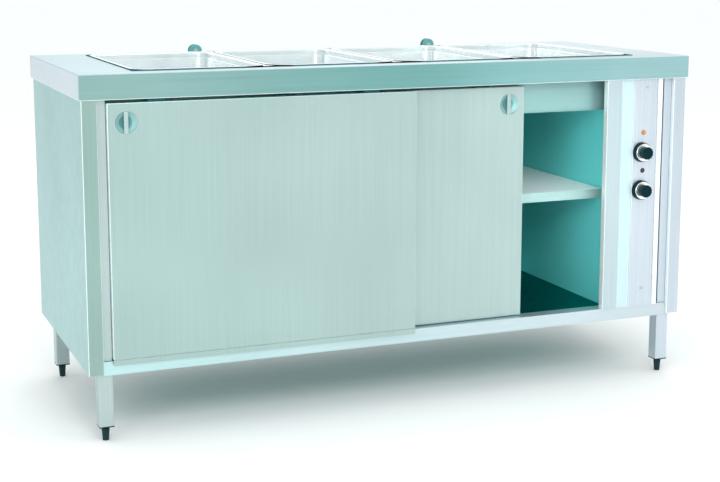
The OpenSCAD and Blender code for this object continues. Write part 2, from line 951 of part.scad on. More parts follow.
// Pilot lamp: lens in front of the panel, body behind it
module lamp(z, tint) {
    color(tint)
        rod_y([control_x, panel_y - 3, z], lamp_diameter, 24);
    color("silver")
        difference() {
            rod_y([control_x, panel_y - 1.2, z], lamp_diameter + 4, 1.2);
            rod_y([control_x, panel_y - 2, z], lamp_diameter, 3);
        }
}

module amber_lamp() {
    lamp(upper_knob_z + lamp_rise, "orange");
}

module red_lamp() {
    lamp(lower_knob_z + lamp_rise, "darkred");
}

// Terminal block on the service side of the partition
module terminal_block() {
    x = partition_x + sheet;
    y = -40;
    color("ivory")
        for (i = [0 : 5])
            span([x, y + i * 14, shelf_height - 30], [x + 22, y + i * 14 + 13, shelf_height + 5]);
}

// Gland for the supply cable in the back panel
module cable_gland() {
    y = floor_back;
    z = cable_gland_z();
    color("darkslategray")
        difference() {
            union() {
                rod_y([control_x, y - 10, z], 16, 10 + sheet + 14);
                rod_y([control_x, y + sheet, z], 24, 5);
                rod_y([control_x, y + sheet + 5, z], 20, 9);
                rod_y([control_x, y - 5, z], 24, 5);
            }
            rod_y([control_x, y - 11, z], 9, 40);
        }
}

// Shelf with a deep front lip and shallow edges on the other sides
module shelf() {
    left = -leg_in + sheet + shelf_play;
    right = partition_x - shelf_play;
    front = housing_front + shelf_setback;
    back = liner_back - shelf_play;
    color("paleturquoise") {
        span([left, front, shelf_height - sheet], [right, back, shelf_height]);
        span([left, front, shelf_height - shelf_lip], [right, front + sheet, shelf_height]);
        span([left, front, shelf_height - shelf_lip], [right, front + 10, shelf_height - shelf_lip + sheet]);
        for (x = [left, right - sheet])
            span([x, front + sheet - e, shelf_height - shelf_edge], [x + sheet, back, shelf_height]);
        span([left, back - sheet, shelf_height - shelf_edge], [right, back, shelf_height]);
    }
}

// Angle brackets on both side walls that carry the shelf's edges
module shelf_brackets() {
    y0 = housing_front + bracket_front_gap;
    y1 = liner_back - bracket_rear_gap;
    z = shelf_height - shelf_edge;
    leaf = bracket_leaf;
    color("silver")
        for (s = [-1, 1]) {
            wall_x = s > 0 ? partition_x : -leg_in + sheet;
            span([s > 0 ? wall_x - leaf : wall_x, y0, z - sheet], [s > 0 ? wall_x : wall_x + leaf, y1, z]);
            span([s > 0 ? wall_x - sheet : wall_x, y0, z - leaf], [s > 0 ? wall_x : wall_x + sheet, y1, z - sheet + e]);
        }
}

// Tubular element along the back of the cupboard floor, with its ends through the partition
module cupboard_element() {
    left = -leg_in + cupboard_element_left_gap;
    y0 = liner_back - cupboard_element_inset;
    y1 = y0 + cupboard_element_pitch;
    z = floor_top + cupboard_element_rise;
    color("dimgray") {
        for (y = [y0, y1])
            rod_x([left, y, z], element_diameter, partition_x - 0.5 - left);
        return_bend(left, y0, y1, z, element_diameter, -1);
    }
    color("silver")
        for (x = [left + cupboard_saddle_gap, 0, partition_x - 2 * cupboard_saddle_gap])
            difference() {
                span([x - 4, y0 - 8, floor_top], [x + 4, y1 + 8, z + 2]);
                for (y = [y0, y1]) {
                    rod_x([x - 5, y, z], element_diameter + 0.1, 10);
                    span([x - 5, y - element_diameter / 2, z], [x + 5, y + element_diameter / 2, z + 3]);
                }
            }
}

// Slotted cover over the cupboard element
module element_guard() {
    left = -leg_in + guard_left_gap;
    right = partition_x - shelf_play;
    front = liner_back - guard_reach;
    back = liner_back - shelf_play;
    top = floor_top + guard_height;
    slots = 18;
    pitch = (right - left - 60) / slots;
    color("lightslategray")
        difference() {
            union() {
                span([left, front, top - sheet], [right, back, top]);
                span([left, front, floor_top], [right, front + sheet, top]);
                span([left, back - sheet, floor_top], [right, back, top]);
            }
            for (i = [0 : slots - 1])
                span([left + 40 + i * pitch, front + 20, top - sheet - 1], [left + 50 + i * pitch, back - 18, top + 1]);
        }
}

// Clevis lugs on the rear apron, with round tops that rise above the worktop
module tray_slide_lugs() {
    radius = lug_width / 2;
    axis_z = top_height;
    base_low = apron_bottom + 10;
    far = y_end + lug_reach;
    near = far - ear - ear_gap - ear;
    color("silver")
        for (s = [-1, 1])
            translate([s * lug_spacing / 2, 0, 0])
                difference() {
                    union() {
                        span([-radius, y_end, base_low], [radius, y_end + lug_plate, axis_z - 16]);
                        span([-radius, y_end, base_low], [radius, far, base_low + 18]);
                        for (y = [near, far - ear]) {
                            span([-radius, y, base_low], [radius, y + ear, axis_z]);
                            rod_y([0, y, axis_z], lug_width, ear);
                        }
                    }
                    rod_y([0, y_end - 1, axis_z], 8.2, lug_reach + 2);
                }
}

// Bolts across the lugs, with their heads to the front
module lug_bolts() {
    near = y_end + lug_reach - ear - ear_gap - ear;
    color("dimgray")
        for (s = [-1, 1]) {
            rod_y([s * lug_spacing / 2, near, top_height], 8, lug_reach + y_end - near - 0.2);
            rod_y([s * lug_spacing / 2, near - 2.5, top_height], 13, 2.5);
        }
}

counter_top();
bath_tank();
pan_divider_bars();
bath_heating_element();
bath_insulation();
bath_housing();
drain_fitting();
drain_pipe();
drain_valve();
drain_lever();
pan(0);  // pan_1
pan(1);  // pan_2
pan(2);  // pan_3
pan(3);  // pan_4
left_side_panel();
right_side_panel();
back_panel();
cupboard_floor();
left_liner();
right_partition();
back_liner();
front_bottom_rail();
lower_frame_rails();
top_frame_rails();
front_legs();
rear_legs();
leg_end_caps();
front_left_foot();
front_right_foot();
rear_left_foot();
rear_right_foot();
door_track();
door_guide();
left_door();
left_door_inner();
left_door_pull();
left_door_hangers();
right_door();
right_door_inner();
right_door_pull();
right_door_hangers();
right_jamb();
filler_strips();
control_panel();
panel_screws();
upper_knob();
lower_knob();
upper_knob_ring();
lower_knob_ring();
thermostats();
amber_lamp();
red_lamp();
terminal_block();
cable_gland();
shelf();
shelf_brackets();
cupboard_element();
element_guard();
tray_slide_lugs();
lug_bolts();
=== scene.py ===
import math

import bmesh
import bpy
from bmesh.types import BMFace, BMVert
from bpy.props import FloatProperty, FloatVectorProperty, IntProperty, PointerProperty
from bpy.types import Operator, Panel, PropertyGroup
from mathutils import Matrix, Vector


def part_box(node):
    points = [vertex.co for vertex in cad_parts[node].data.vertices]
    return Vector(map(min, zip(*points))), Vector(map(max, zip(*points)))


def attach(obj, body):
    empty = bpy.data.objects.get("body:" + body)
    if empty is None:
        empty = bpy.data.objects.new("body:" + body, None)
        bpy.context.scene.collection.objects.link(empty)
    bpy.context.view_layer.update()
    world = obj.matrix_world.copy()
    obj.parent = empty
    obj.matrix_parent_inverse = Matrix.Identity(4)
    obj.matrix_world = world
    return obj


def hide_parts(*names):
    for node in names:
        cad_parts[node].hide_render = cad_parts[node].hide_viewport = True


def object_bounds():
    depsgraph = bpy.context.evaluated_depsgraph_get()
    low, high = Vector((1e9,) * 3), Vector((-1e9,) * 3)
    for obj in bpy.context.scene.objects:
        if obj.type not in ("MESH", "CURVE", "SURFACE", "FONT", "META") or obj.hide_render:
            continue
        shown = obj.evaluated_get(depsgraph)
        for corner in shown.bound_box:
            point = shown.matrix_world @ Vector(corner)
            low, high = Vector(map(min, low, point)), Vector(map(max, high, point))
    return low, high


bl_info = {
    "name": "Bain Marie Hot Cupboard",
    "version": (1, 0, 0),
    "blender": (4, 5, 0),
    "location": "View3D > Sidebar > Hot Cupboard",
    "description": "Dresses the packed hot cupboard in stainless steel and sets a studio around it",
    "category": "Object",
}

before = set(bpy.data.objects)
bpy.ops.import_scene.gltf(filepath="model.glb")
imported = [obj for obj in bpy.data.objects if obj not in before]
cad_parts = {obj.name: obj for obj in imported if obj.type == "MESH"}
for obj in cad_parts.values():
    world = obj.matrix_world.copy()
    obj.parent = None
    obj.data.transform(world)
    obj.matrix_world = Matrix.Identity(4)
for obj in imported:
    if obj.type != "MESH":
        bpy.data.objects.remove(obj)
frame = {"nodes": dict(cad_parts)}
cad_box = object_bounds()
MM = 0.001
WHITE = (1.0, 1.0, 1.0)


def linear(code):
    """Turns an sRGB hex colour into the linear values that a shader takes."""
    parts = [int(code[i:i + 2], 16) / 255 for i in (1, 3, 5)]
    return [c / 12.92 if c <= 0.04045 else ((c + 0.055) / 1.055) ** 2.4 for c in parts]


def colour(title, code, words):
    return FloatVectorProperty(
        name=title, description=words, default=linear(code), subtype="COLOR", min=0, max=1,
    )


def length(title, metres, words):
    return FloatProperty(name=title, description=words, default=metres, min=0, unit="LENGTH")


def angle(title, degrees, words):
    return FloatProperty(
        name=title, description=words, default=math.radians(degrees), subtype="ANGLE",
    )


# Sizes and colours that a user would change


class CupboardSizes(PropertyGroup):
    """Sizes of the dressed pieces that the solids leave open"""

    fold_radius: length("Fold radius", 2.2 * MM, "Outer radius where the sheet is folded")
    sheet: length("Sheet", 1.5 * MM, "Thickness of the steel sheet")
    leg_radius: length("Leg corner", 2.4 * MM, "Corner radius of the square leg tubes")
    container_wall: length("Container wall", 1.2 * MM, "Thickness of a container's wall")
    container_bottom: length("Container bottom radius", 18 * MM, "Radius between wall and base")
    container_mouth: length("Container mouth radius", 4 * MM, "Radius between rim and wall")
    grip: length("Grip", 34 * MM, "Diameter of a knob's grip")
    spindle: length("Spindle", 6 * MM, "Diameter of a knob's spindle")
    turned_steps: IntProperty(
        name="Turned steps", description="Steps round a turned piece", default=48, min=12, max=128
    )


class CupboardColours(PropertyGroup):
    """Colours of the finishes"""

    # Where a finish has a left and a right colour, its tone goes from one to the other along the
    # cupboard: painted reflection and shade, as the light falls differently along it
    door_left: colour("Door, left", "#9FB8B4", "Doors, left end")
    door_right: colour("Door, right", "#AEC3C1", "Doors, right end")
    apron_left: colour("Apron, left", "#84A6A2", "Front apron, left end")
    apron_right: colour("Apron, right", "#99C0C3", "Front apron, right end")
    worktop_left: colour("Worktop, left", "#B9CED4", "Worktop, left end")
    worktop_right: colour("Worktop, right", "#E8F5FA", "Worktop, right end")
    # Top, front apron and end aprons are one sheet in three tones: painted light and shade
    side_apron: colour("Side apron", "#C8D5DC", "Aprons on the ends and the rear")
    side_panel: colour("Side panel", "#98BEBD", "Outer side panels")
    # Front faces of the side panels: painted shade, darker than their sides on the left end
    side_fold: colour("Side panel fold", "#8DAAA3", "Folds of the left side panel")
    # The right legs and right folds share the lighter strip tone, the left legs a darker one:
    # painted light and shade
    strips: colour("Strips", "#C2CDD6", "Control panel, right legs and right folds")
    jamb: colour("Jamb", "#B5C7CC", "Jamb post right of the opening")
    rail_left: colour("Rail, left", "#B6D8D9", "Bottom rail, left end")
    rail_right: colour("Rail, right", "#C5CFD6", "Bottom rail, right end")
    leg: colour("Leg", "#ADBEBD", "Leg tubes on the left")
    filler: colour("Filler strip", "#C0DADF", "Strip left of the control panel")
    # Painted highlight along the outer folds and sheet edges
    fold: colour("Fold", "#EAF3F4", "Outer folds and sheet edges")
    container: colour("Container", "#ECF3F4", "Containers and divider bars")
    # Painted shade: a dark copy of the containers' steel for their outsides below the rim
    container_back: colour("Container, back", "#33474A", "Containers, outside below the rim")
    # Dark tone of the bath tank: painted shade
    bath: colour("Bath", "#2C6E70", "Bath tank under lime")
    header: colour("Header", "#8EB7B6", "Bath housing, over the opening")
    # Painted shade in the pulls' cups: darker than the flange near the rim, darker still behind the
    # bar
    cup: colour("Pull cup", "#8FBAB9", "Cups of the pulls, near the rim")
    cup_floor: colour("Pull cup floor", "#6A9C9D", "Cups of the pulls, behind the bar")
    pull: colour("Pull", "#B3C9C6", "Flanges and bars of the pulls, screws and bolts")
    # Painted shade: the deep teal inside, and the deeper teal of the cupboard floor
    inside: colour("Inside", "#6FE4E2", "Walls inside, and tops of the doors")
    floor: colour("Cupboard floor", "#0A8482", "Floor of the cupboard")
    # Painted light: the shelf's top near white, its folded front darker
    shelf: colour("Shelf", "#F6FFFF", "Top of the shelf")
    shelf_lip: colour("Shelf lip", "#A6CBC9", "Folded front of the shelf")
    frame: colour("Frame", "#9FB4B4", "Frame tubes and waste pipe")
    lug: colour("Lug", "#6FAFAE", "Rear lugs")
    polymer: colour("Polymer", "#0A2A30", "Feet, caps and gland")
    knob: colour("Knob", "#07272D", "Control knobs")
    ring: colour("Ring", "#F6FBFC", "Dial rings")
    amber: colour("Amber lamp", "#C07A35", "Amber pilot lamp")
    red: colour("Red lamp", "#32102C", "Red pilot lamp")


class StudioSizes(PropertyGroup):
    """Camera, lights and floor"""

    camera_place: FloatVectorProperty(
        name="Camera place", description="Where the camera stands", subtype="XYZ", unit="LENGTH",
        default=(-1.40354, -3.47671, 1.12499),
    )
    camera_yaw: angle("Camera yaw", 22.0115, "Turn to the right of straight ahead")
    camera_pitch: angle("Camera pitch", 9.2318, "Tilt below level")
    camera_lens: FloatProperty(
        name="Lens", description="Focal length on a 36 mm sensor", default=71.505, unit="CAMERA",
    )
    camera_shift: FloatProperty(
        name="Shift", description="Vertical shift of the photograph's framing", default=-0.08,
    )
    floor_size: length("Floor size", 60.0, "Side of the square floor")


# Small helpers for materials


def add(tree, kind, links=None, values=None, **settings):
    """Adds one shader node with its settings, its sockets' values, and their links from a socket,
    or from a node's first output."""
    node = tree.nodes.new("ShaderNode" + kind)
    for name, value in settings.items():
        setattr(node, name, value)
    for socket, value in (values or {}).items():
        node.inputs[socket].default_value = value
    for socket, source in (links or {}).items():
        if isinstance(source, bpy.types.Node):
            source = source.outputs[0]
        tree.links.new(source, node.inputs[socket])
    return node


def rgba(values, factor=1.0):
    """A colour for a socket, made lighter or darker by the factor."""
    return (*(min(1.0, c * factor) for c in values), 1.0)


def made(name, make, *settings):
    """A material by its name. When it is new, make adds its nodes, in coordinates of the object
    that wears it, and returns the shader."""
    if name not in bpy.data.materials:
        material = bpy.data.materials.new(name)
        material.use_nodes = True
        tree = material.node_tree
        tree.nodes.clear()
        shader = make(tree, add(tree, "TexCoord").outputs["Object"], *settings)
        add(tree, "OutputMaterial", {"Surface": shader})
    return bpy.data.materials[name]


def brushed_sheet(
        tree, place, left, right, grain, metallic=0.75, roughness=0.36, streak=0.05,
        middle=WHITE, grazing=WHITE,
):
    """Brushed stainless sheet. The brush leaves streaks along the grain, and the sheet's waves make
    its tone drift, which the eye reads as thin steel. The tone goes from left to right, times
    middle half way: painted reflection and shade along the cupboard. grazing tints what a flat
    look along the sheet mirrors."""
    # Brush marks are about 0.2 mm wide; they are drawn 3 mm wide and 400 mm long so that they show
    fine, long = 1 / (3 * MM), 1 / (400 * MM)
    scale = {"X": (long, fine, fine), "Y": (fine, long, fine), "Z": (fine, fine, long)}[grain]
    stretched = add(tree, "Mapping", {"Vector": place}, {"Scale": scale})
    marks = add(
        tree, "TexNoise", {"Vector": stretched}, {"Scale": 1.0, "Detail": 3.0, "Roughness": 0.6},
    )
    # The sheet's waves are about 350 mm apart; handling leaves faint clouds about 40 mm across
    waves, clouds = (
        add(
            tree, "TexNoise", {"Vector": place},
            {"Scale": 1 / width, "Detail": detail, "Roughness": mix},
        )
        for width, detail, mix in ((350 * MM, 1.0, 0.4), (40 * MM, 4.0, 0.65))
    )
    x = add(tree, "SeparateXYZ", {"Vector": place})
    along = add(
        tree, "MapRange", {"Value": x},
        {"From Min": cad_box[0][0], "From Max": cad_box[1][0]},
    )
    # Painted reflection and shade: the tone goes from the left colour to the right one
    base = add(tree, "Mix", {0: along}, {6: rgba(left), 7: rgba(right)}, data_type="RGBA")
    # Waves and streaks each make the tone swing about 1
    wave_tone, streak_tone = (
        add(
            tree, "MapRange", {"Value": source},
            {"From Min": 0.3, "From Max": 0.7, "To Min": 1 - swing, "To Max": 1 + swing},
        )
        for source, swing in ((waves, 0.05), (marks, streak))
    )
    both = add(tree, "Math", {0: wave_tone, 1: streak_tone}, operation="MULTIPLY")
    # 0 at both ends of the cupboard, 0.5 half way
    inwards = add(tree, "Math", {0: along}, {1: 0.5}, operation="PINGPONG")
    painted_shade_dip = add(
        tree, "MapRange", {"Value": inwards}, {"From Max": 0.5}, interpolation_type="SMOOTHSTEP",
    )
    # Painted shade: the tone is times middle half way along, and plain at both ends
    toned = add(
        tree, "Mix", {0: painted_shade_dip, 6: base.outputs[2]}, {7: rgba(middle)}, data_type="RGBA",
        blend_type="MULTIPLY",
    )
    tinted = add(tree, "VectorMath", {0: toned.outputs[2], "Scale": both}, operation="SCALE")
    worn = add(tree, "Math", {0: clouds, 1: marks}, operation="ADD")
    polish = add(
        tree, "MapRange", {"Value": worn},
        {"From Min": 0.7, "From Max": 1.3, "To Min": roughness - 0.06, "To Max": roughness + 0.08},
    )
    relief = add(tree, "Bump", {"Height": marks}, {"Strength": 0.08, "Distance": 0.2 * MM})
    return add(
        tree, "BsdfPrincipled", {"Base Color": tinted, "Roughness": polish, "Normal": relief},
        {"Metallic": metallic, "Specular Tint": rgba(grazing)},
    )


def drawn_steel(tree, place, values, roughness=0.2):
    """Stainless steel drawn in a press and polished: bright, with soft waves where it stretched."""
    # Stretch waves are about 60 mm apart, polishing marks about 1.5 mm
    waves, marks = (
        add(
            tree, "TexNoise", {"Vector": place},
            {"Scale": 1 / width, "Detail": detail, "Roughness": mix},
        )
        for width, detail, mix in ((60 * MM, 1.5, 0.5), (1.5 * MM, 2.0, 0.6))
    )
    tone = add(
        tree, "Mix", {0: waves}, {6: rgba(values, 0.93), 7: rgba(values, 1.04)}, data_type="RGBA",
    )
    polish = add(
        tree, "MapRange", {"Value": marks},
        {"To Min": roughness - 0.05, "To Max": roughness + 0.07},
    )
    relief = add(tree, "Bump", {"Height": waves}, {"Strength": 0.15, "Distance": 2 * MM})
    return add(
        tree, "BsdfPrincipled",
        {"Base Color": tone.outputs[2], "Roughness": polish, "Normal": relief}, {"Metallic": 0.9},
    )


def moulded(
        tree, place, values, roughness=0.42, grit=0.8, coat=0.0, clear=0.0, metallic=0.0, shine=0.5,
):
    """Moulded or cast material with a fine spark-eroded grain, or a clear tinted lens."""
    # The mould's grain is grit mm wide, and the colour drifts in patches about 12 mm across
    grain, patches = (
        add(
            tree, "TexNoise", {"Vector": place},
            {"Scale": 1 / width, "Detail": detail, "Roughness": mix},
        )
        for width, detail, mix in ((grit * MM, 3.0, 0.55), (12 * MM, 2.0, 0.5))
    )
    tone = add(
        tree, "Mix", {0: patches}, {6: rgba(values, 0.8), 7: rgba(values, 1.25)}, data_type="RGBA",
    )
    polish = add(
        tree, "MapRange", {"Value": patches},
        {"To Min": roughness - 0.08, "To Max": roughness + 0.1},
    )
    relief = add(tree, "Bump", {"Height": grain}, {"Strength": 0.25, "Distance": 0.1 * MM})
    return add(
        tree, "BsdfPrincipled",
        {"Base Color": tone.outputs[2], "Roughness": polish, "Normal": relief},
        {
            "Metallic": metallic, "Coat Weight": coat, "Transmission Weight": clear,
            "Specular IOR Level": shine,
        },
    )


def limed_shaded_sheet(tree, place, values):
    """Steel with lime and steam stains, in a dark tone without reflection: painted shade for the
    tank under the containers. Under the containers' round corners the gap is deep, and a black slot
    is
    painted either side of a divider bar: painted shadow."""
    # Stains are about 25 mm across
    stains = add(
        tree, "TexNoise", {"Vector": place},
        {"Scale": 1 / (25 * MM), "Detail": 3.0, "Roughness": 0.6},
    )
    # Containers stand 334 mm apart, with a joint at X 0; a slot ends 56 mm from the joint in it
    pitch, slot = 334 * MM, 56 * MM
    x = add(tree, "SeparateXYZ", {"Vector": place})
    from_joint = add(tree, "Math", {0: x}, {1: pitch / 2}, operation="PINGPONG")
    past_slot = add(
        tree, "MapRange", {"Value": from_joint}, {"From Min": slot, "From Max": slot + 6 * MM},
    )
    out = add(tree, "Math", {0: x}, operation="ABSOLUTE")
    at_end = add(
        tree, "MapRange", {"Value": out}, {"From Min": 1.5 * pitch, "From Max": 1.6 * pitch},
    )
    lit = add(tree, "Math", {0: past_slot, 1: at_end}, operation="MAXIMUM")
    stained = add(
        tree, "Mix", {0: stains}, {6: rgba(values, 0.7), 7: rgba(values, 1.3)}, data_type="RGBA",
    )
    # Near black in the slots: painted shadow
    tone = add(
        tree, "Mix", {0: lit, 7: stained.outputs[2]}, {6: rgba((0.0, 0.002, 0.002))},
        data_type="RGBA",
    )
    return add(
        tree, "BsdfPrincipled", {"Base Color": tone.outputs[2]},
        {"Roughness": 0.8, "Specular IOR Level": 0.0},
    )


def pressed_wool(tree, place, values):
    """Mineral wool slab: matt, felted from fibres that lie every way."""
    # Fibre bundles are about 4 mm across
    fibres = add(
        tree, "TexNoise", {"Vector": place},
        {"Scale": 1 / (4 * MM), "Detail": 5.0, "Roughness": 0.7, "Distortion": 0.8},
    )
    tone = add(
        tree, "Mix", {0: fibres}, {6: rgba(values, 0.7), 7: rgba(values, 1.2)}, data_type="RGBA",
    )
    relief = add(tree, "Bump", {"Height": fibres}, {"Strength": 0.6, "Distance": 1 * MM})
    return add(
        tree, "BsdfPrincipled", {"Base Color": tone.outputs[2], "Normal": relief},
        {"Roughness": 0.95},
    )


# Sheet finishes: the colour, or the colours at the left and the right end, and then what else
# brushed_sheet takes, from the grain on
SHEETS = {
    # Satin stainless sheet: the mill's brush gives it a long soft sheen. Tones that set a top, a
    # front and an end of one sheet apart are painted light and shade
    "door_steel": ("door_left door_right", "Z"),
    # The front apron is painted a deeper teal half way along: painted shade
    "apron_steel": ("apron_left apron_right", "X", 0.75, 0.36, 0.05, (0.62, 0.83, 0.81)),
    "worktop_steel": ("worktop_left worktop_right", "X", 1.0, 0.3, 0.03, WHITE, (0.78, 0.83, 0.83)),
    "side_apron_steel": ("side_apron", "Y"),
    "side_panel_steel": ("side_panel", "Z"),
    "side_fold_steel": ("side_fold strips", "Z"),
    "strip_steel": ("strips", "Z", 0.6),
    "jamb_steel": ("jamb", "Z", 0.6),
    "filler_steel": ("filler", "Z", 0.4),
    "rail_steel": ("rail_left rail_right", "X"),
    "leg_steel": ("leg", "Z"),
    "header_steel": ("header", "X", 0.5),
    "frame_steel": ("frame", "X", 0.85, 0.42),
    "lug_steel": ("lug", "Z", 0.7, 0.35),
    # Outer folds and sheet edges: a bright line painted along each fold, as painted highlight
    "fold_steel": ("fold", "Z", 0.25, 0.3),
    # Inside, steam and heat leave the sheet dull. Its deep teal, and the floor's deeper teal with
    # teal reflections, are painted shade
    "inside_steel": ("inside", "X", 0.1, 0.5),
    "floor_steel": ("floor", "X", 1.0, 0.4, 0.05, WHITE, (0.02, 0.6, 0.6)),
    "shelf_steel": ("shelf", "X", 0.1, 0.45),
    "shelf_lip_steel": ("shelf_lip", "X", 0.5, 0.4),
    # Spun cups of the pulls: matt, with painted shade: darker than the flange near the rim, and
    # darker still behind the bar
    "pull_cup_steel": ("cup", "Z", 0.45, 0.55),
    "pull_floor_steel": ("cup_floor", "Z", 0.45, 0.55),
    # Zinc-plated hangers and track, in a dark teal: painted shade for the gap under the apron
    "greased_steel": ("#145A62", "X", 0.3, 0.5),
}
# Other finishes: maker, colour, and then what else the maker takes
OTHERS = {
    # Bath tank: stains, in a dark tone that mirrors nothing: painted shade
    "limed_steel": (limed_shaded_sheet, "bath"),
    # Steel and aluminium, pressed or turned and then polished: soft bright waves
    "container_steel": (drawn_steel, "container"),
    # A dark copy of the containers' steel: painted shade
    "container_back_steel": (drawn_steel, "container_back", 0.5),
    "pull_steel": (drawn_steel, "pull", 0.32),
    "ring_aluminium": (drawn_steel, "ring", 0.22),
    # Nylon, phenolic and vinyl, moulded with a fine grain: a broad dull sheen
    "foot_nylon": (moulded, "polymer", 0.45, 0.8, 0.0, 0.0, 0.0, 0.25),
    "knob_phenolic": (moulded, "knob", 0.4, 0.8, 0.0, 0.0, 0.0, 0.05),
    "pale_nylon": (moulded, "#D9D9D1", 0.45),
    "lever_vinyl": (moulded, "#8E2420", 0.4),
    # Print on the knobs and dials: thin and flat
    "index_enamel": (moulded, "#EDF2F2", 0.35, 0.5),
    "dial_ink": (moulded, "#274B52", 0.5, 0.5),
    # Clear tinted acrylic lenses: a gloss over a deep colour
    "amber_acrylic": (moulded, "amber", 0.12, 0.6, 0.5, 0.1),
    "red_acrylic": (moulded, "red", 0.12, 0.6, 0.3, 0.1),
    # Cast brass, and the element's nickel alloy sheath: dull metal
    "cast_brass": (moulded, "#B0904A", 0.35, 0.9, 0.0, 0.0, 0.9),
    "element_sheath": (moulded, "#56605F", 0.5, 0.7, 0.0, 0.0, 0.7),
    # Slabs round the bath: matt and felted
    "mineral_wool": (pressed_wool, "#C2B98A"),
}


def finish(name):
    """One of the finishes, in the colours that the user has set."""
    def tint(key):
        return linear(key) if key[0] == "#" else getattr(bpy.context.scene.cupboard_colours, key)

    if name in SHEETS:
        keys, *settings = SHEETS[name]
        tints = [tint(key) for key in keys.split()]
        return made(name, brushed_sheet, tints[0], tints[-1], *settings)
    make, key, *settings = OTHERS[name]
    return made(name, make, tint(key), *settings)


# Small helpers for shapes

# Faces that meet at more than this angle, in radians, have a fold between them
FOLD = 0.3
# Vertices closer than this to each other, or to a level, lie on it
NEAR = 0.01 * MM


def boxed(node):
    """Lowest and highest corner of a CAD node, in metres."""
    low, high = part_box(node)
    return Vector(low), Vector(high)


def block(low, high):
    """A closed box between two corners."""
    bm = bmesh.new()
    low, high = Vector(low), Vector(high)
    bmesh.ops.create_cube(bm, size=1.0)
    bmesh.ops.scale(bm, vec=high - low, verts=bm.verts)
    bmesh.ops.translate(bm, vec=(low + high) / 2, verts=bm.verts)
    return bm


def only(geom, kind):
    """The vertices, or the faces, among what an operator made."""
    return [g for g in geom if isinstance(g, kind)]


def open_side(bm, *directions):
    """Takes away the faces that look in the given directions."""
    for direction in directions:
        out = Vector(direction)
        faces = [f for f in bm.faces if f.normal.dot(out) > 0.99]
        bmesh.ops.delete(bm, geom=faces, context="FACES")


def bevelled(bm, geom, width, steps, kind="EDGES", **settings):
    """Rounds edges or corners off in even steps."""
    bmesh.ops.bevel(
        bm, geom=geom, offset=width, segments=steps, profile=0.5, affect=kind, material=-1,
        **settings,
    )


def rounded(bm, radius, steps=3, keep=lambda edge: True, fold=FOLD, **settings):
    """Rounds the folds between two faces that keep says yes to."""
    edges = [
        e for e in bm.edges
        if len(e.link_faces) == 2 and e.calc_face_angle(0) > fold and keep(e)
    ]
    bevelled(bm, edges, radius, steps, **settings)


def drawn_in(bm, verts, inset, span, centre):
    """Moves the vertices at both ends of the span inwards, along X and Y."""
    bmesh.ops.scale(
        bm, vec=(1 - 2 * inset / span.x, 1 - 2 * inset / span.y, 1), verts=verts,
        space=Matrix.Translation(-centre),
    )


def tipped(bm, middle, front):
    """Tips a shape from Z to the back, and puts its start at the front."""
    bmesh.ops.rotate(bm, verts=bm.verts, matrix=Matrix.Rotation(-math.pi / 2, 3, "X"))
    bmesh.ops.translate(bm, vec=(middle.x, front, middle.z), verts=bm.verts)
    return bm


def turned(profile):
    """Spins a chain of (radius, height) points round Z."""
    bm = bmesh.new()
    verts = [bm.verts.new((r, 0, h)) for r, h in profile]
    edges = [bm.edges.new(pair) for pair in zip(verts, verts[1:])]
    bmesh.ops.spin(
        bm, geom=verts + edges, cent=(0, 0, 0), axis=(0, 0, 1), angle=math.tau,
        steps=bpy.context.scene.cupboard_sizes.turned_steps, use_merge=True,
    )
    bmesh.ops.remove_doubles(bm, verts=bm.verts, dist=NEAR)
    bmesh.ops.recalc_face_normals(bm, faces=bm.faces)
    return bm


def joined(*shapes):
    """One bmesh with all the shapes in it."""
    whole = shapes[0]
    for shape in shapes[1:]:
        mesh = bpy.data.meshes.new("part")
        shape.to_mesh(mesh)
        shape.free()
        whole.from_mesh(mesh)
        bpy.data.meshes.remove(mesh)
    return whole


def placed(name, data):
    """A scene object that shows the data, which may be a bmesh."""
    if isinstance(data, bmesh.types.BMesh):
        bm, data = data, bpy.data.meshes.new(name)
        bm.to_mesh(data)
        bm.free()
    thing = bpy.data.objects.new(name, data)
    bpy.context.scene.collection.objects.link(thing)
    return thing


def even_normals(piece):
    """Large flat faces keep their own normals, so that only the folds look round."""
    piece.modifiers.new("Normals", "WEIGHTED_NORMAL").keep_sharp = True


def finished(
        name, bm, body, materials, replaces=(), wall=None, pick=None, sharp=32, back=0,
        rim=0,
):
    """Makes the piece: smooth where it is round, sharp at folds of more than sharp degrees, on its
    body and in its finish. wall is the sheet's thickness, which goes inwards. pick gives a face's
    material by number; back and rim are what the sheet's inner side and its cut edge add to it."""
    for face in bm.faces:
        face.smooth = True
        if pick is not None:
            face.material_index = pick(face)
    for edge in bm.edges:
        edge.smooth = len(edge.link_faces) != 2 or edge.calc_face_angle(0) < math.radians(sharp)
    piece = placed(name, bm)
    for material in [materials] if isinstance(materials, str) else materials:
        piece.data.materials.append(finish(material))
    if wall is not None:
        solid = piece.modifiers.new("Sheet", "SOLIDIFY")
        solid.thickness = wall
        solid.use_even_offset = True
        solid.material_offset = back
        solid.material_offset_rim = rim
    even_normals(piece)
    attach(piece, body)
    if replaces:
        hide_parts(*replaces)
    return piece


def cut(piece, bm):
    """Cuts a closed shape out of a piece, and leaves the result as its mesh."""
    cutter = placed("cutter", bm)
    hole = piece.modifiers.new("Hole", "BOOLEAN")
    hole.object = cutter
    bpy.context.view_layer.update()
    graph = bpy.context.evaluated_depsgraph_get()
    result = bpy.data.meshes.new_from_object(piece.evaluated_get(graph), depsgraph=graph)
    spent = piece.data, cutter.data
    piece.modifiers.clear()
    piece.data = result
    even_normals(piece)
    bpy.data.objects.remove(cutter)
    for mesh in spent:
        bpy.data.meshes.remove(mesh)
    result.name = piece.name


def finish_nodes(material, *nodes):
    """Gives CAD nodes whose shape stays their finish."""
    for node in nodes:
        worn = frame["nodes"][node].data.materials
        worn.clear()
        worn.append(finish(material))


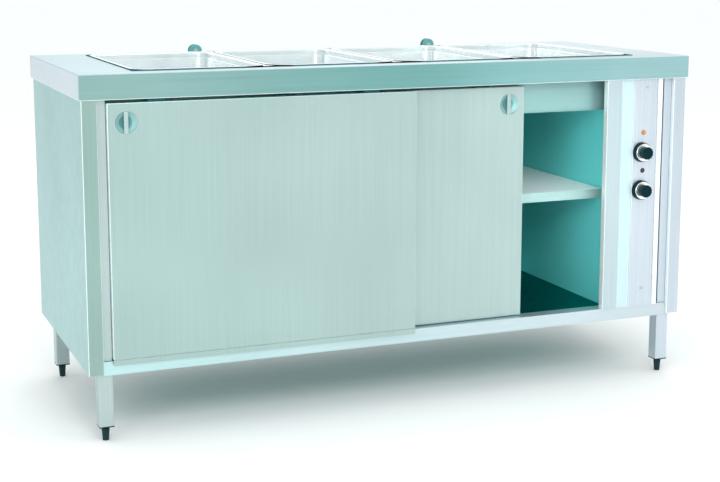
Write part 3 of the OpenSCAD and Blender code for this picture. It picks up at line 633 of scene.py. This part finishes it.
def softened(name, node, materials, width, steps=2, pick=None, body="cabinet"):
    """A copy of a CAD node with its corners eased, which takes the node's place."""
    bm = bmesh.new()
    bm.from_mesh(frame["nodes"][node].data)
    bmesh.ops.remove_doubles(bm, verts=bm.verts, dist=0.005 * MM)
    bmesh.ops.dissolve_limit(
        bm, angle_limit=math.radians(1), use_dissolve_boundaries=False, verts=bm.verts,
        edges=bm.edges,
    )
    rounded(bm, width, steps, fold=math.radians(35), clamp_overlap=True)
    finished(name, bm, body, materials, (node,), pick=pick)


# The pieces


class CUPBOARD_OT_worktop(Operator):
    """Worktop: one folded sheet with rounded edges, a turned-in hem and the bath opening"""

    bl_idname = "cupboard.worktop"
    bl_label = "Worktop"

    def execute(self, context):
        sizes = context.scene.cupboard_sizes
        low, high = boxed("counter_top")
        tank = boxed("bath_tank")[1]
        # The rim lies over the tank's edge and turns down into it; the aprons' hem turns in
        rim, rim_drop = 4 * MM, 3 * MM
        hem, hem_radius = 3.4 * MM, 1.2 * MM
        bm = block(low, high)
        open_side(bm, (0, 0, -1))
        top = max(bm.faces, key=lambda f: f.calc_center_median().z)
        bmesh.ops.inset_region(bm, faces=[top], thickness=rim)
        for vert in top.verts:
            vert.co.x = math.copysign(tank.x - rim, vert.co.x)
            vert.co.y = math.copysign(tank.y - rim, vert.co.y)
        turned_down = bmesh.ops.extrude_face_region(bm, geom=[top])["geom"]
        bmesh.ops.delete(bm, geom=[top], context="FACES")
        bmesh.ops.translate(bm, vec=(0, 0, -rim_drop), verts=only(turned_down, BMVert))
        bmesh.ops.delete(bm, geom=only(turned_down, BMFace), context="FACES_ONLY")

        def at_bottom(edge):
            return all(v.co.z < low.z + NEAR for v in edge.verts)

        lower = [e for e in bm.edges if e.is_boundary and at_bottom(e)]
        folded = bmesh.ops.extrude_edge_only(bm, edges=lower)["geom"]
        drawn_in(bm, only(folded, BMVert), hem, high - low, (low + high) / 2)
        rounded(bm, sizes.fold_radius, keep=lambda e: not at_bottom(e))
        rounded(bm, hem_radius, keep=at_bottom)
        bmesh.ops.recalc_face_normals(bm, faces=bm.faces)

        def side(face):
            """Top, front apron, other aprons, or what is folded in: lit and shaded tones of one
            sheet, and a painted highlight on the folded hem.
            """
            if face.normal.z > 0.5:
                return 0
            if face.normal.z < -0.2:
                return 3
            return 1 if face.normal.y < -0.5 else 2

        finished(
            "worktop", bm, "cabinet",
            ["worktop_steel", "apron_steel", "side_apron_steel", "fold_steel"],
            ("counter_top",), sizes.sheet, side,
        )
        return {"FINISHED"}


class CUPBOARD_OT_bath(Operator):
    """Bath: tank, divider bars with eased edges, elements and waste"""

    bl_idname = "cupboard.bath"
    bl_label = "Bath"

    def execute(self, context):
        finish_nodes("limed_steel", "bath_tank")
        finish_nodes("header_steel", "bath_housing")
        finish_nodes("mineral_wool", "bath_insulation")
        finish_nodes("element_sheath", "bath_heating_element", "cupboard_element")
        softened("divider_bars", "pan_divider_bars", "container_steel", 0.7 * MM)
        finish_nodes("frame_steel", "drain_fitting", "drain_pipe")
        finish_nodes("cast_brass", "drain_valve")
        softened(
            "valve_lever", "drain_lever", "lever_vinyl", 0.8 * MM,
            body="drain_lever_set",
        )
        return {"FINISHED"}


class CUPBOARD_OT_containers(Operator):
    """Four drawn containers: level rim, round mouth, shoulder, sloped walls and a rounded base"""

    bl_idname = "cupboard.containers"
    bl_label = "Containers"

    def execute(self, context):
        sizes = context.scene.cupboard_sizes
        wall = sizes.container_wall
        # Width of the rim, corner radii of rim and body, and how far the walls slope in
        rim, corner, body_corner, slope = 10 * MM, 50 * MM, 28 * MM, 3.5 * MM
        shoulder_depth, shoulder, shoulder_drop = 14 * MM, 2.2 * MM, 1.5 * MM
        for number in range(1, 5):
            low, high = boxed(f"pan_{number}")
            centre, half = (low + high) / 2, (high - low) / 2
            bm = bmesh.new()
            bmesh.ops.create_grid(bm, x_segments=1, y_segments=1, size=0.5)
            bmesh.ops.scale(bm, vec=(high.x - low.x, high.y - low.y, 1), verts=bm.verts)
            bevelled(bm, bm.verts, corner, 9, "VERTICES")
            bmesh.ops.translate(bm, vec=(centre.x, centre.y, high.z), verts=bm.verts)
            face = bm.faces[:][0]
            bmesh.ops.inset_region(
                bm, faces=[face], thickness=rim + wall, use_even_offset=True, use_boundary=True,
            )
            # The mouth's corners are tighter than the rim's, round centres of their own
            inner, mouth = corner - rim - wall, body_corner - wall
            for vert in face.verts:
                for axis in (0, 1):
                    side = math.copysign(1, vert.co[axis] - centre[axis])
                    edge = centre[axis] + side * (half[axis] - rim - wall)
                    from_round = vert.co[axis] - edge + side * inner
                    vert.co[axis] = edge - side * mouth + from_round * mouth / inner
            for inset, drop in (
                (0.0, shoulder_depth), (shoulder, shoulder_drop),
                (0.0, high.z - low.z - wall - shoulder_depth - shoulder_drop),
            ):
                if inset:
                    bmesh.ops.inset_region(bm, faces=[face], thickness=inset, use_even_offset=True)
                else:
                    more = bmesh.ops.extrude_face_region(bm, geom=[face])["geom"]
                    bmesh.ops.delete(bm, geom=[face], context="FACES_ONLY")
                    face = only(more, BMFace)[0]
                bmesh.ops.translate(bm, vec=(0, 0, -drop), verts=face.verts)
            span = high - low - Vector((2 * rim, 2 * rim, 0))
            drawn_in(bm, face.verts[:], slope, span, centre)
            bottom_edges = list(face.edges)
            mouth_edges = [
                e for e in bm.edges
                if len(e.link_faces) == 2 and all(v.co.z > high.z - NEAR for v in e.verts)
                and e.calc_face_angle(0) > FOLD
            ]
            bevelled(bm, bottom_edges, sizes.container_bottom, 5)
            bevelled(bm, [e for e in mouth_edges if e.is_valid], sizes.container_mouth, 4)
            bmesh.ops.recalc_face_normals(bm, faces=bm.faces)
            base = max((f for f in bm.faces if abs(f.normal.z) > 0.9), key=lambda f: f.calc_area())
            if base.normal.z < 0:
                bmesh.ops.reverse_faces(bm, faces=bm.faces)

            def part(face):
                # The rim's cut edge is painted dark round the corners between two containers, as
                # painted shade for the deep gap there, else bright
                middle = face.calc_center_median()
                at_corner = all(abs(middle[a] - centre[a]) > half[a] - corner for a in (0, 1))
                between_two = abs(middle.x) < 3.2 * half.x
                return 3 if at_corner and between_two and face.normal.z > 0.9 else 0

            # The outsides wear a dark copy of the steel: painted shade below the rim
            bright, dull = "container_steel", "container_back_steel"
            finished(
                f"container_{number}", bm, f"container_{number}",
                [bright, dull, bright, bright, dull, dull], (f"pan_{number}",), wall, part,
                sharp=40, back=1, rim=2,
            )
        return {"FINISHED"}


class CUPBOARD_OT_side_panels(Operator):
    """Side panels: one sheet each, folded round the front and the back"""

    bl_idname = "cupboard.side_panels"
    bl_label = "Side panels"

    def execute(self, context):
        sizes = context.scene.cupboard_sizes
        lip = 11 * MM
        for side, inward in (("left", 1), ("right", -1)):
            low, high = boxed(f"{side}_side_panel")
            bm = block(low, high)
            open_side(bm, (inward, 0, 0), (0, 0, 1), (0, 0, -1))
            free = high.x if inward > 0 else low.x
            front = [
                e for e in bm.edges
                if e.is_boundary and all(abs(v.co.x - free) < NEAR and v.co.y < 0 for v in e.verts)
            ]
            more = bmesh.ops.extrude_edge_only(bm, edges=front)["geom"]
            bmesh.ops.translate(bm, vec=(0, lip, 0), verts=only(more, BMVert))
            bmesh.ops.recalc_face_normals(bm, faces=bm.faces)
            outer = max(bm.faces, key=lambda f: f.calc_area())
            if outer.normal.x * inward > 0:
                bmesh.ops.reverse_faces(bm, faces=bm.faces)
            rounded(bm, sizes.fold_radius)

            # The sheet's front wears its own tone, darker on the left end and lighter on the right,
            # and the folds and lip a bright one: painted shade and painted highlight
            def part(face):
                if face.normal.y < -0.95:
                    return 1
                return 2 if face.normal.y < -0.1 or face.normal.x * inward > 0.1 else 0

            finished(
                f"{side}_side_sheet", bm, "cabinet",
                ["side_panel_steel", "side_fold_steel", "fold_steel"], (f"{side}_side_panel",),
                sizes.sheet, part,
            )
        finish_nodes("side_panel_steel", "back_panel")
        return {"FINISHED"}


class CUPBOARD_OT_doors(Operator):
    """Sliding doors: folded skins with a round hole, recessed pulls with a bar, and hangers"""

    bl_idname = "cupboard.doors"
    bl_label = "Doors"

    def execute(self, context):
        sizes = context.scene.cupboard_sizes
        skin, hem_radius = 1.2 * MM, 0.4 * MM
        for side in ("left", "right"):
            body = f"{side}_sliding_door"
            low, high = boxed(f"{side}_door")
            pull_low, pull_high = boxed(f"{side}_door_pull")
            middle = (pull_low + pull_high) / 2
            foot = boxed(f"{side}_door_inner")[0].z - skin
            bm = block((low.x, low.y, foot), high)
            open_side(bm, (0, 1, 0))
            rounded(bm, sizes.fold_radius)
            # The fold along the top wears the teal inside tone, as painted shade that shows as a
            # teal line under the apron; the other folds and returns wear a painted highlight
            door = finished(
                f"{side}_door_skin", bm, body, ["door_steel", "fold_steel", "inside_steel"],
                (f"{side}_door",), skin,
                lambda f: 2 if f.normal.z > 0.95 else int(f.normal.y >= -0.95),
            )
            # The hole lets the cup through, and its edge is hidden under the flange
            radius = (pull_high.x - pull_low.x) / 2
            hole, through = radius - 2 * MM, 5 * MM
            profile = [(0, -through), (hole, -through), (hole, through), (0, through)]
            cut(door, tipped(turned(profile), middle, low.y))
            if foot - low.z > MM:
                lip = block((low.x, low.y, low.z), (high.x, low.y + skin, foot))
                rounded(
                    lip, hem_radius, 2, keep=lambda e: max(v.co.z for v in e.verts) < low.z + MM,
                )
                finished(f"{side}_door_lip", lip, body, "door_steel")
            self.pull(side, body, middle, radius, pull_low.y, pull_high.y - pull_low.y)
            finish_nodes("inside_steel", f"{side}_door_inner")
            # Hangers and track in a dark teal: painted shade
            finish_nodes("greased_steel", f"{side}_door_hangers")
        finish_nodes("greased_steel", "door_track")
        finish_nodes("pale_nylon", "door_guide")
        return {"FINISHED"}

    def pull(self, side, body, middle, radius, front, depth):
        """Spun cup with a rolled flange, and a bar with round edges across its mouth"""
        mouth, wall, ease = radius - 3.8 * MM, 1.2 * MM, 0.5 * MM
        # Profile from the flange's outer edge over its face, down the bowl, and back outside it
        bowl_rim, bowl_steps = 1.4 * MM, 8
        bowl_depth = depth - wall - bowl_rim
        shares = [1 - step / bowl_steps for step in range(1, bowl_steps)]
        bowl = [(mouth * t, bowl_rim + bowl_depth * (1 - t * t)) for t in shares]
        profile = [
            (radius, wall), (radius, ease), (radius - ease, 0), (mouth + 2 * ease, 0),
            (mouth, bowl_rim), *bowl, (0, bowl_rim + bowl_depth), (0, depth),
            (mouth - 3 * MM, depth), (mouth + wall, depth - 4 * MM), (mouth + wall, wall),
            (radius, wall),
        ]
        cup = tipped(turned(profile), middle, front)
        bar_half, bar_depth, bar_radius = 5 * MM, 8 * MM, 1.2 * MM
        reach = math.sqrt((mouth + 0.5 * MM) ** 2 - bar_half ** 2)
        bar = block(
            (middle.x - bar_half, front + 0.1 * MM, middle.z - reach),
            (middle.x + bar_half, front + bar_depth, middle.z + reach),
        )
        rounded(bar, bar_radius, keep=lambda e: abs(e.verts[0].co.z - e.verts[1].co.z) > reach)
        # The bowl is painted darker behind the bar: painted shade
        levels = front + wall, front + 8.6 * MM
        finished(
            f"{side}_pull", cup, body,
            ["pull_steel", "pull_cup_steel", "pull_floor_steel"], (f"{side}_door_pull",),
            pick=lambda f: sum(f.calc_center_median().y > level for level in levels),
        )
        # The bar's sides are painted dark: painted shade beside the bar
        finished(
            f"{side}_pull_bar", bar, body, ["pull_steel", "pull_floor_steel"],
            pick=lambda f: int(abs(f.normal.x) > 0.9),
        )


class CUPBOARD_OT_front(Operator):
    """Fixed front: bottom rail, jamb post, filler strips and control panel"""

    bl_idname = "cupboard.front"
    bl_label = "Front frame"

    def execute(self, context):
        sheet, fold = context.scene.cupboard_sizes.sheet, 1.6 * MM
        softened("bottom_rail", "front_bottom_rail", "rail_steel", 0.6 * MM)
        # The sheets' edges stand a little apart, so that each joint shows as a fine dark line
        for node, left, right, face in (
            ("right_jamb", 0, 0.6 * MM, "jamb_steel"),
            ("control_panel", 0.5 * MM, 0, "strip_steel"),
        ):
            low, high = boxed(node)
            bm = block((low.x + left, low.y, low.z), (high.x - right, high.y, high.z))
            open_side(bm, (0, 1, 0), (0, 0, 1), (0, 0, -1))
            # The folds wear a painted highlight
            rounded(bm, fold)
            finished(
                f"{node}_sheet", bm, "cabinet", [face, "fold_steel"], (node,), sheet,
                lambda f: int(f.normal.y >= -0.95),
            )
        # The strip right of the control panel wears the bright fold finish: painted highlight
        panel = boxed("control_panel")[1].x
        softened(
            "filler_sheets", "filler_strips", ["filler_steel", "fold_steel"], 0.5 * MM,
            pick=lambda f: int(f.calc_center_median().x > panel),
        )
        return {"FINISHED"}


class CUPBOARD_OT_controls(Operator):
    """Controls: turned knobs with grips and index lines, dial rings with ticks, lamps and screws"""

    bl_idname = "cupboard.controls"
    bl_label = "Controls"

    def execute(self, context):
        sizes = context.scene.cupboard_sizes
        for place in ("upper", "lower"):
            low, high = boxed(f"{place}_knob")
            ring_low, ring_high = boxed(f"{place}_knob_ring")
            self.knob(sizes, place, low, high, ring_low, ring_high)
            self.ring(sizes, place, (low + high) / 2, ring_low, ring_high)
        for node, material, slot in (
            ("amber_lamp", "amber_acrylic", "amber_lens"), ("red_lamp", "red_acrylic", "red_lens"),
        ):
            softened(f"{node}_lens", node, material, 0.6 * MM, 3)
        softened("screw_heads", "panel_screws", "pull_steel", 0.3 * MM)
        finish_nodes("pale_nylon", "thermostats", "terminal_block")
        softened("gland", "cable_gland", "foot_nylon", 0.6 * MM)
        return {"FINISHED"}

    def knob(self, sizes, place, low, high, ring_low, ring_high):
        """Tapered skirt with an eased edge, a fluted grip and the spindle behind"""
        body = f"{place}_knob_set"
        middle, front = (low + high) / 2, low.y
        radius, back = (high.x - low.x) / 2, high.y - front
        skirt_back = boxed("control_panel")[0].y - 0.5 * MM - front
        skirt_front = ring_high.y - front
        spindle, grip = sizes.spindle / 2, sizes.grip / 2
        # The grip is a little slimmer where it meets the ring, and ends just in front of it
        waist, depth = 0.86, ring_low.y - front - 0.5 * MM
        profile = [
            (0, back), (spindle, back), (spindle, skirt_back), (radius - 0.6 * MM, skirt_back),
            (radius, skirt_back - 0.6 * MM), (radius - 1 * MM, skirt_front + 1 * MM),
            (radius - 2 * MM, skirt_front), (waist * grip, skirt_front), (waist * grip, depth),
            (0, depth),
        ]
        spin = tipped(turned(profile), middle, front)
        # The grip starts as a disc; every second pair of its corners steps in to make the flutes
        flute, edge = 1 * MM, 1.2 * MM
        disc = bmesh.new()
        bmesh.ops.create_circle(disc, cap_ends=True, radius=grip, segments=sizes.turned_steps)
        for number, vert in enumerate(disc.verts):
            if number % 4 in (0, 1):
                vert.co *= 1 - flute / grip
        deep = only(bmesh.ops.extrude_face_region(disc, geom=disc.faces[:])["geom"], BMVert)
        bmesh.ops.translate(disc, vec=(0, 0, depth), verts=deep)
        bmesh.ops.scale(disc, vec=(waist, waist, 1), verts=deep)
        bmesh.ops.recalc_face_normals(disc, faces=disc.faces)
        tipped(disc, middle, front)
        rounded(disc, edge, keep=lambda e: all(v.co.y < front + NEAR for v in e.verts))
        finished(
            f"{place}_knob_body", joined(spin, disc), body, "knob_phenolic",
            (f"{place}_knob",), sharp=24,
        )
        # Index line on the skirt's front, above the ring
        line_half, line_height = 0.6 * MM, 0.3 * MM
        ring_radius = (ring_high.x - ring_low.x) / 2
        line = block(
            (middle.x - line_half, ring_high.y - 0.05 * MM, middle.z + ring_radius),
            (middle.x + line_half, ring_high.y + line_height, middle.z + radius - 2 * MM),
        )
        finished(f"{place}_knob_index", line, body, "index_enamel")

    def ring(self, sizes, place, middle, low, high):
        """Bright dial ring with a bevelled edge and printed ticks round it"""
        body, slot = f"{place}_knob_set", "ring_silver"
        radius, depth = (high.x - low.x) / 2, high.y - low.y
        bore, bore_ease, ease = 0.87 * sizes.grip / 2, 0.3 * MM, 0.6 * MM
        profile = [
            (bore, bore_ease), (bore + bore_ease, 0), (radius - ease, 0), (radius, ease),
            (radius, depth), (bore, depth), (bore, bore_ease),
        ]
        ring = tipped(turned(profile), middle, low.y)
        finished(f"{place}_dial", ring, body, "ring_aluminium", (f"{place}_knob_ring",))
        # Eleven ticks over 270 degrees; the first, the middle and the last one are longer
        half, height, sunk, end = 0.35 * MM, 0.3 * MM, 0.03 * MM, radius - 1.2 * MM
        ticks = []
        for number in range(11):
            reach = 3.4 * MM if number % 5 == 0 else 2.2 * MM
            tick = block((-half, 0, end - reach), (half, height, end))
            turn = Matrix.Rotation(math.radians(27 * number - 135), 3, "Y")
            bmesh.ops.rotate(tick, verts=tick.verts, matrix=turn)
            bmesh.ops.translate(tick, verts=tick.verts, vec=(middle.x, low.y - sunk, middle.z))
            ticks.append(tick)
        finished(f"{place}_dial_ticks", joined(*ticks), body, "dial_ink")


class CUPBOARD_OT_legs(Operator):
    """Legs: square tubes with round corners, plugs and turned feet"""

    bl_idname = "cupboard.legs"
    bl_label = "Legs and feet"

    def execute(self, context):
        sizes = context.scene.cupboard_sizes
        for end in ("front", "rear"):
            low, high = boxed(f"{end}_legs")
            size = high.y - low.y
            # The right legs wear the lighter strip tone and the left ones a darker one: painted
            # light and shade
            for side, x, steel in (
                ("left", low.x, "leg_steel"), ("right", high.x - size, "strip_steel"),
            ):
                bm = block((x, low.y, low.z), (x + size, high.y, high.z))
                open_side(bm, (0, 0, 1), (0, 0, -1))
                rounded(bm, sizes.leg_radius, 4)
                finished(
                    f"{end}_{side}_leg_tube", bm, "cabinet", steel,
                    (f"{end}_legs",), sizes.sheet,
                )
                self.foot(f"{end}_{side}")
        softened("tube_plugs", "leg_end_caps", "foot_nylon", 0.7 * MM)
        return {"FINISHED"}

    def foot(self, place):
        """Foot that narrows a little downwards from its shoulder, with a rounded sole and a stem"""
        low, high = boxed(f"{place}_foot")
        middle = (low + high) / 2
        radius = (high.x - low.x) / 2
        sole, stem, ease = radius - 2 * MM, 5 * MM, 0.8 * MM
        profile = [
            (0, 0), (sole - 1.6 * MM, 0), (sole - 0.4 * MM, 0.5 * MM), (sole, 1.8 * MM),
            (radius - 0.4 * MM, 24 * MM), (radius, 25 * MM), (radius, 29 * MM),
            (radius - ease, 29.8 * MM), (stem, 29.8 * MM), (stem, high.z - ease),
            (stem - ease, high.z), (0, high.z),
        ]
        bm = turned(profile)
        bmesh.ops.translate(bm, vec=(middle.x, middle.y, low.z), verts=bm.verts)
        finished(
            f"{place}_foot_body", bm, f"{place}_foot_set", "foot_nylon",
            (f"{place}_foot",),
        )


class CUPBOARD_OT_inside(Operator):
    """Inside: liners, floor, shelf, brackets, element guard and frame tubes"""

    bl_idname = "cupboard.inside"
    bl_label = "Inside"

    def execute(self, context):
        finish_nodes(
            "inside_steel", "left_liner", "right_partition", "back_liner", "shelf_brackets",
            "element_guard",
        )
        # The floor in a deeper teal than the walls: painted shade
        finish_nodes("floor_steel", "cupboard_floor")
        # The shelf's top is near white and its lip darker: painted light on the top
        softened(
            "shelf_sheet", "shelf", ["shelf_steel", "shelf_lip_steel"],
            0.5 * MM, pick=lambda f: int(f.normal.y < -0.5),
        )
        finish_nodes("frame_steel", "lower_frame_rails", "top_frame_rails")
        return {"FINISHED"}


class CUPBOARD_OT_lugs(Operator):
    """Lugs behind the worktop, with their bolts"""

    bl_idname = "cupboard.lugs"
    bl_label = "Rear lugs"

    def execute(self, context):
        softened("lug_ears", "tray_slide_lugs", "lug_steel", 0.5 * MM)
        softened("ear_bolts", "lug_bolts", "pull_steel", 0.4 * MM)
        return {"FINISHED"}


class CUPBOARD_OT_stage(Operator):
    """Stage: pale floor, soft studio light and the camera"""

    bl_idname = "cupboard.stage"
    bl_label = "Stage"

    def execute(self, context):
        scene = context.scene
        studio = scene.cupboard_studio
        bm = bmesh.new()
        bmesh.ops.create_grid(bm, x_segments=1, y_segments=1, size=studio.floor_size / 2)
        floor = placed("studio_floor", bm)
        floor.location.z = cad_box[0].z
        floor.data.materials.append(made("studio_paper", self.floor_paper))

        scene.world = world = bpy.data.worlds.new("studio_air")
        world.use_nodes = True
        air = next(n for n in world.node_tree.nodes if n.type == "BACKGROUND")
        air.inputs["Color"].default_value = rgba(linear("#FEFFFF"))

        # Place, aim and side in metres, spread in degrees, power in watts
        body = (0, 0, 0.45)
        for name, place, aim, size, spread, watts in (
            ("key_light", (-3.8, -4.2, 1.7), body, 2.6, 180, 75),
            ("high_light", (-0.6, -3.8, 3.2), body, 1.6, 180, 50),
            ("fill_light", (4.6, -3.8, 2.6), body, 3.0, 180, 18),
            ("top_light", (0.2, 0.6, 4.2), body, 3.5, 180, 3),
            ("back_light", (1.0, 4.0, 3.0), body, 3.0, 180, 20),
            # A narrow light into the open cupboard
            ("inner_light", (0.1, -2.0, 1.3), (0.44, 0.0, 0.47), 0.4, 22, 0.31),
        ):
            light = bpy.data.lights.new(name, "AREA")
            light.size, light.energy, light.spread = size, watts, math.radians(spread)
            lamp = placed(name, light)
            lamp.location = place
            lamp.rotation_euler = (Vector(aim) - lamp.location).to_track_quat("-Z", "Y").to_euler()

        data = bpy.data.cameras.new("photo_camera")
        data.lens = studio.camera_lens
        data.shift_y = studio.camera_shift
        scene.camera = camera = placed("photo_camera", data)
        camera.location = studio.camera_place
        camera.rotation_euler = (math.radians(90) - studio.camera_pitch, 0, -studio.camera_yaw)
        scene.view_settings.view_transform = "Standard"
        return {"FINISHED"}

    def floor_paper(self, tree, place):
        """Studio paper: white and matt, with a faint mottle"""
        # The mottle is about 600 mm across
        mottle = add(tree, "TexNoise", {"Vector": place}, {"Scale": 1 / (600 * MM)})
        tone = add(
            tree, "Mix", {0: mottle}, {6: rgba(linear("#FAFEFE")), 7: rgba(linear("#FEFFFF"))},
            data_type="RGBA",
        )
        return add(tree, "BsdfPrincipled", {"Base Color": tone.outputs[2]}, {"Roughness": 0.9})


# Order in which the pieces are made
PIECES = (
    CUPBOARD_OT_worktop, CUPBOARD_OT_bath, CUPBOARD_OT_containers, CUPBOARD_OT_side_panels,
    CUPBOARD_OT_doors, CUPBOARD_OT_front, CUPBOARD_OT_controls, CUPBOARD_OT_legs,
    CUPBOARD_OT_inside, CUPBOARD_OT_lugs, CUPBOARD_OT_stage,
)


class CUPBOARD_PT_sidebar(Panel):
    """Lists the pieces of the hot cupboard"""

    bl_idname = "CUPBOARD_PT_sidebar"
    bl_label = "Hot Cupboard"
    bl_space_type = "VIEW_3D"
    bl_region_type = "UI"
    bl_category = "Hot Cupboard"

    def draw(self, context):
        for piece in PIECES:
            self.layout.operator(piece.bl_idname)


# Settings that the scene keeps, by name
SETTINGS = {
    "cupboard_sizes": CupboardSizes, "cupboard_colours": CupboardColours,
    "cupboard_studio": StudioSizes,
}
CLASSES = (*SETTINGS.values(), *PIECES, CUPBOARD_PT_sidebar)


def register():
    for kind in CLASSES:
        bpy.utils.register_class(kind)
    for name, kind in SETTINGS.items():
        setattr(bpy.types.Scene, name, PointerProperty(type=kind))


def unregister():
    for name in SETTINGS:
        delattr(bpy.types.Scene, name)
    for kind in reversed(CLASSES):
        bpy.utils.unregister_class(kind)


def main():
    register()
    for piece in PIECES:
        getattr(bpy.ops.cupboard, piece.bl_idname.split(".")[1])()


if __name__ == "__main__":
    main()
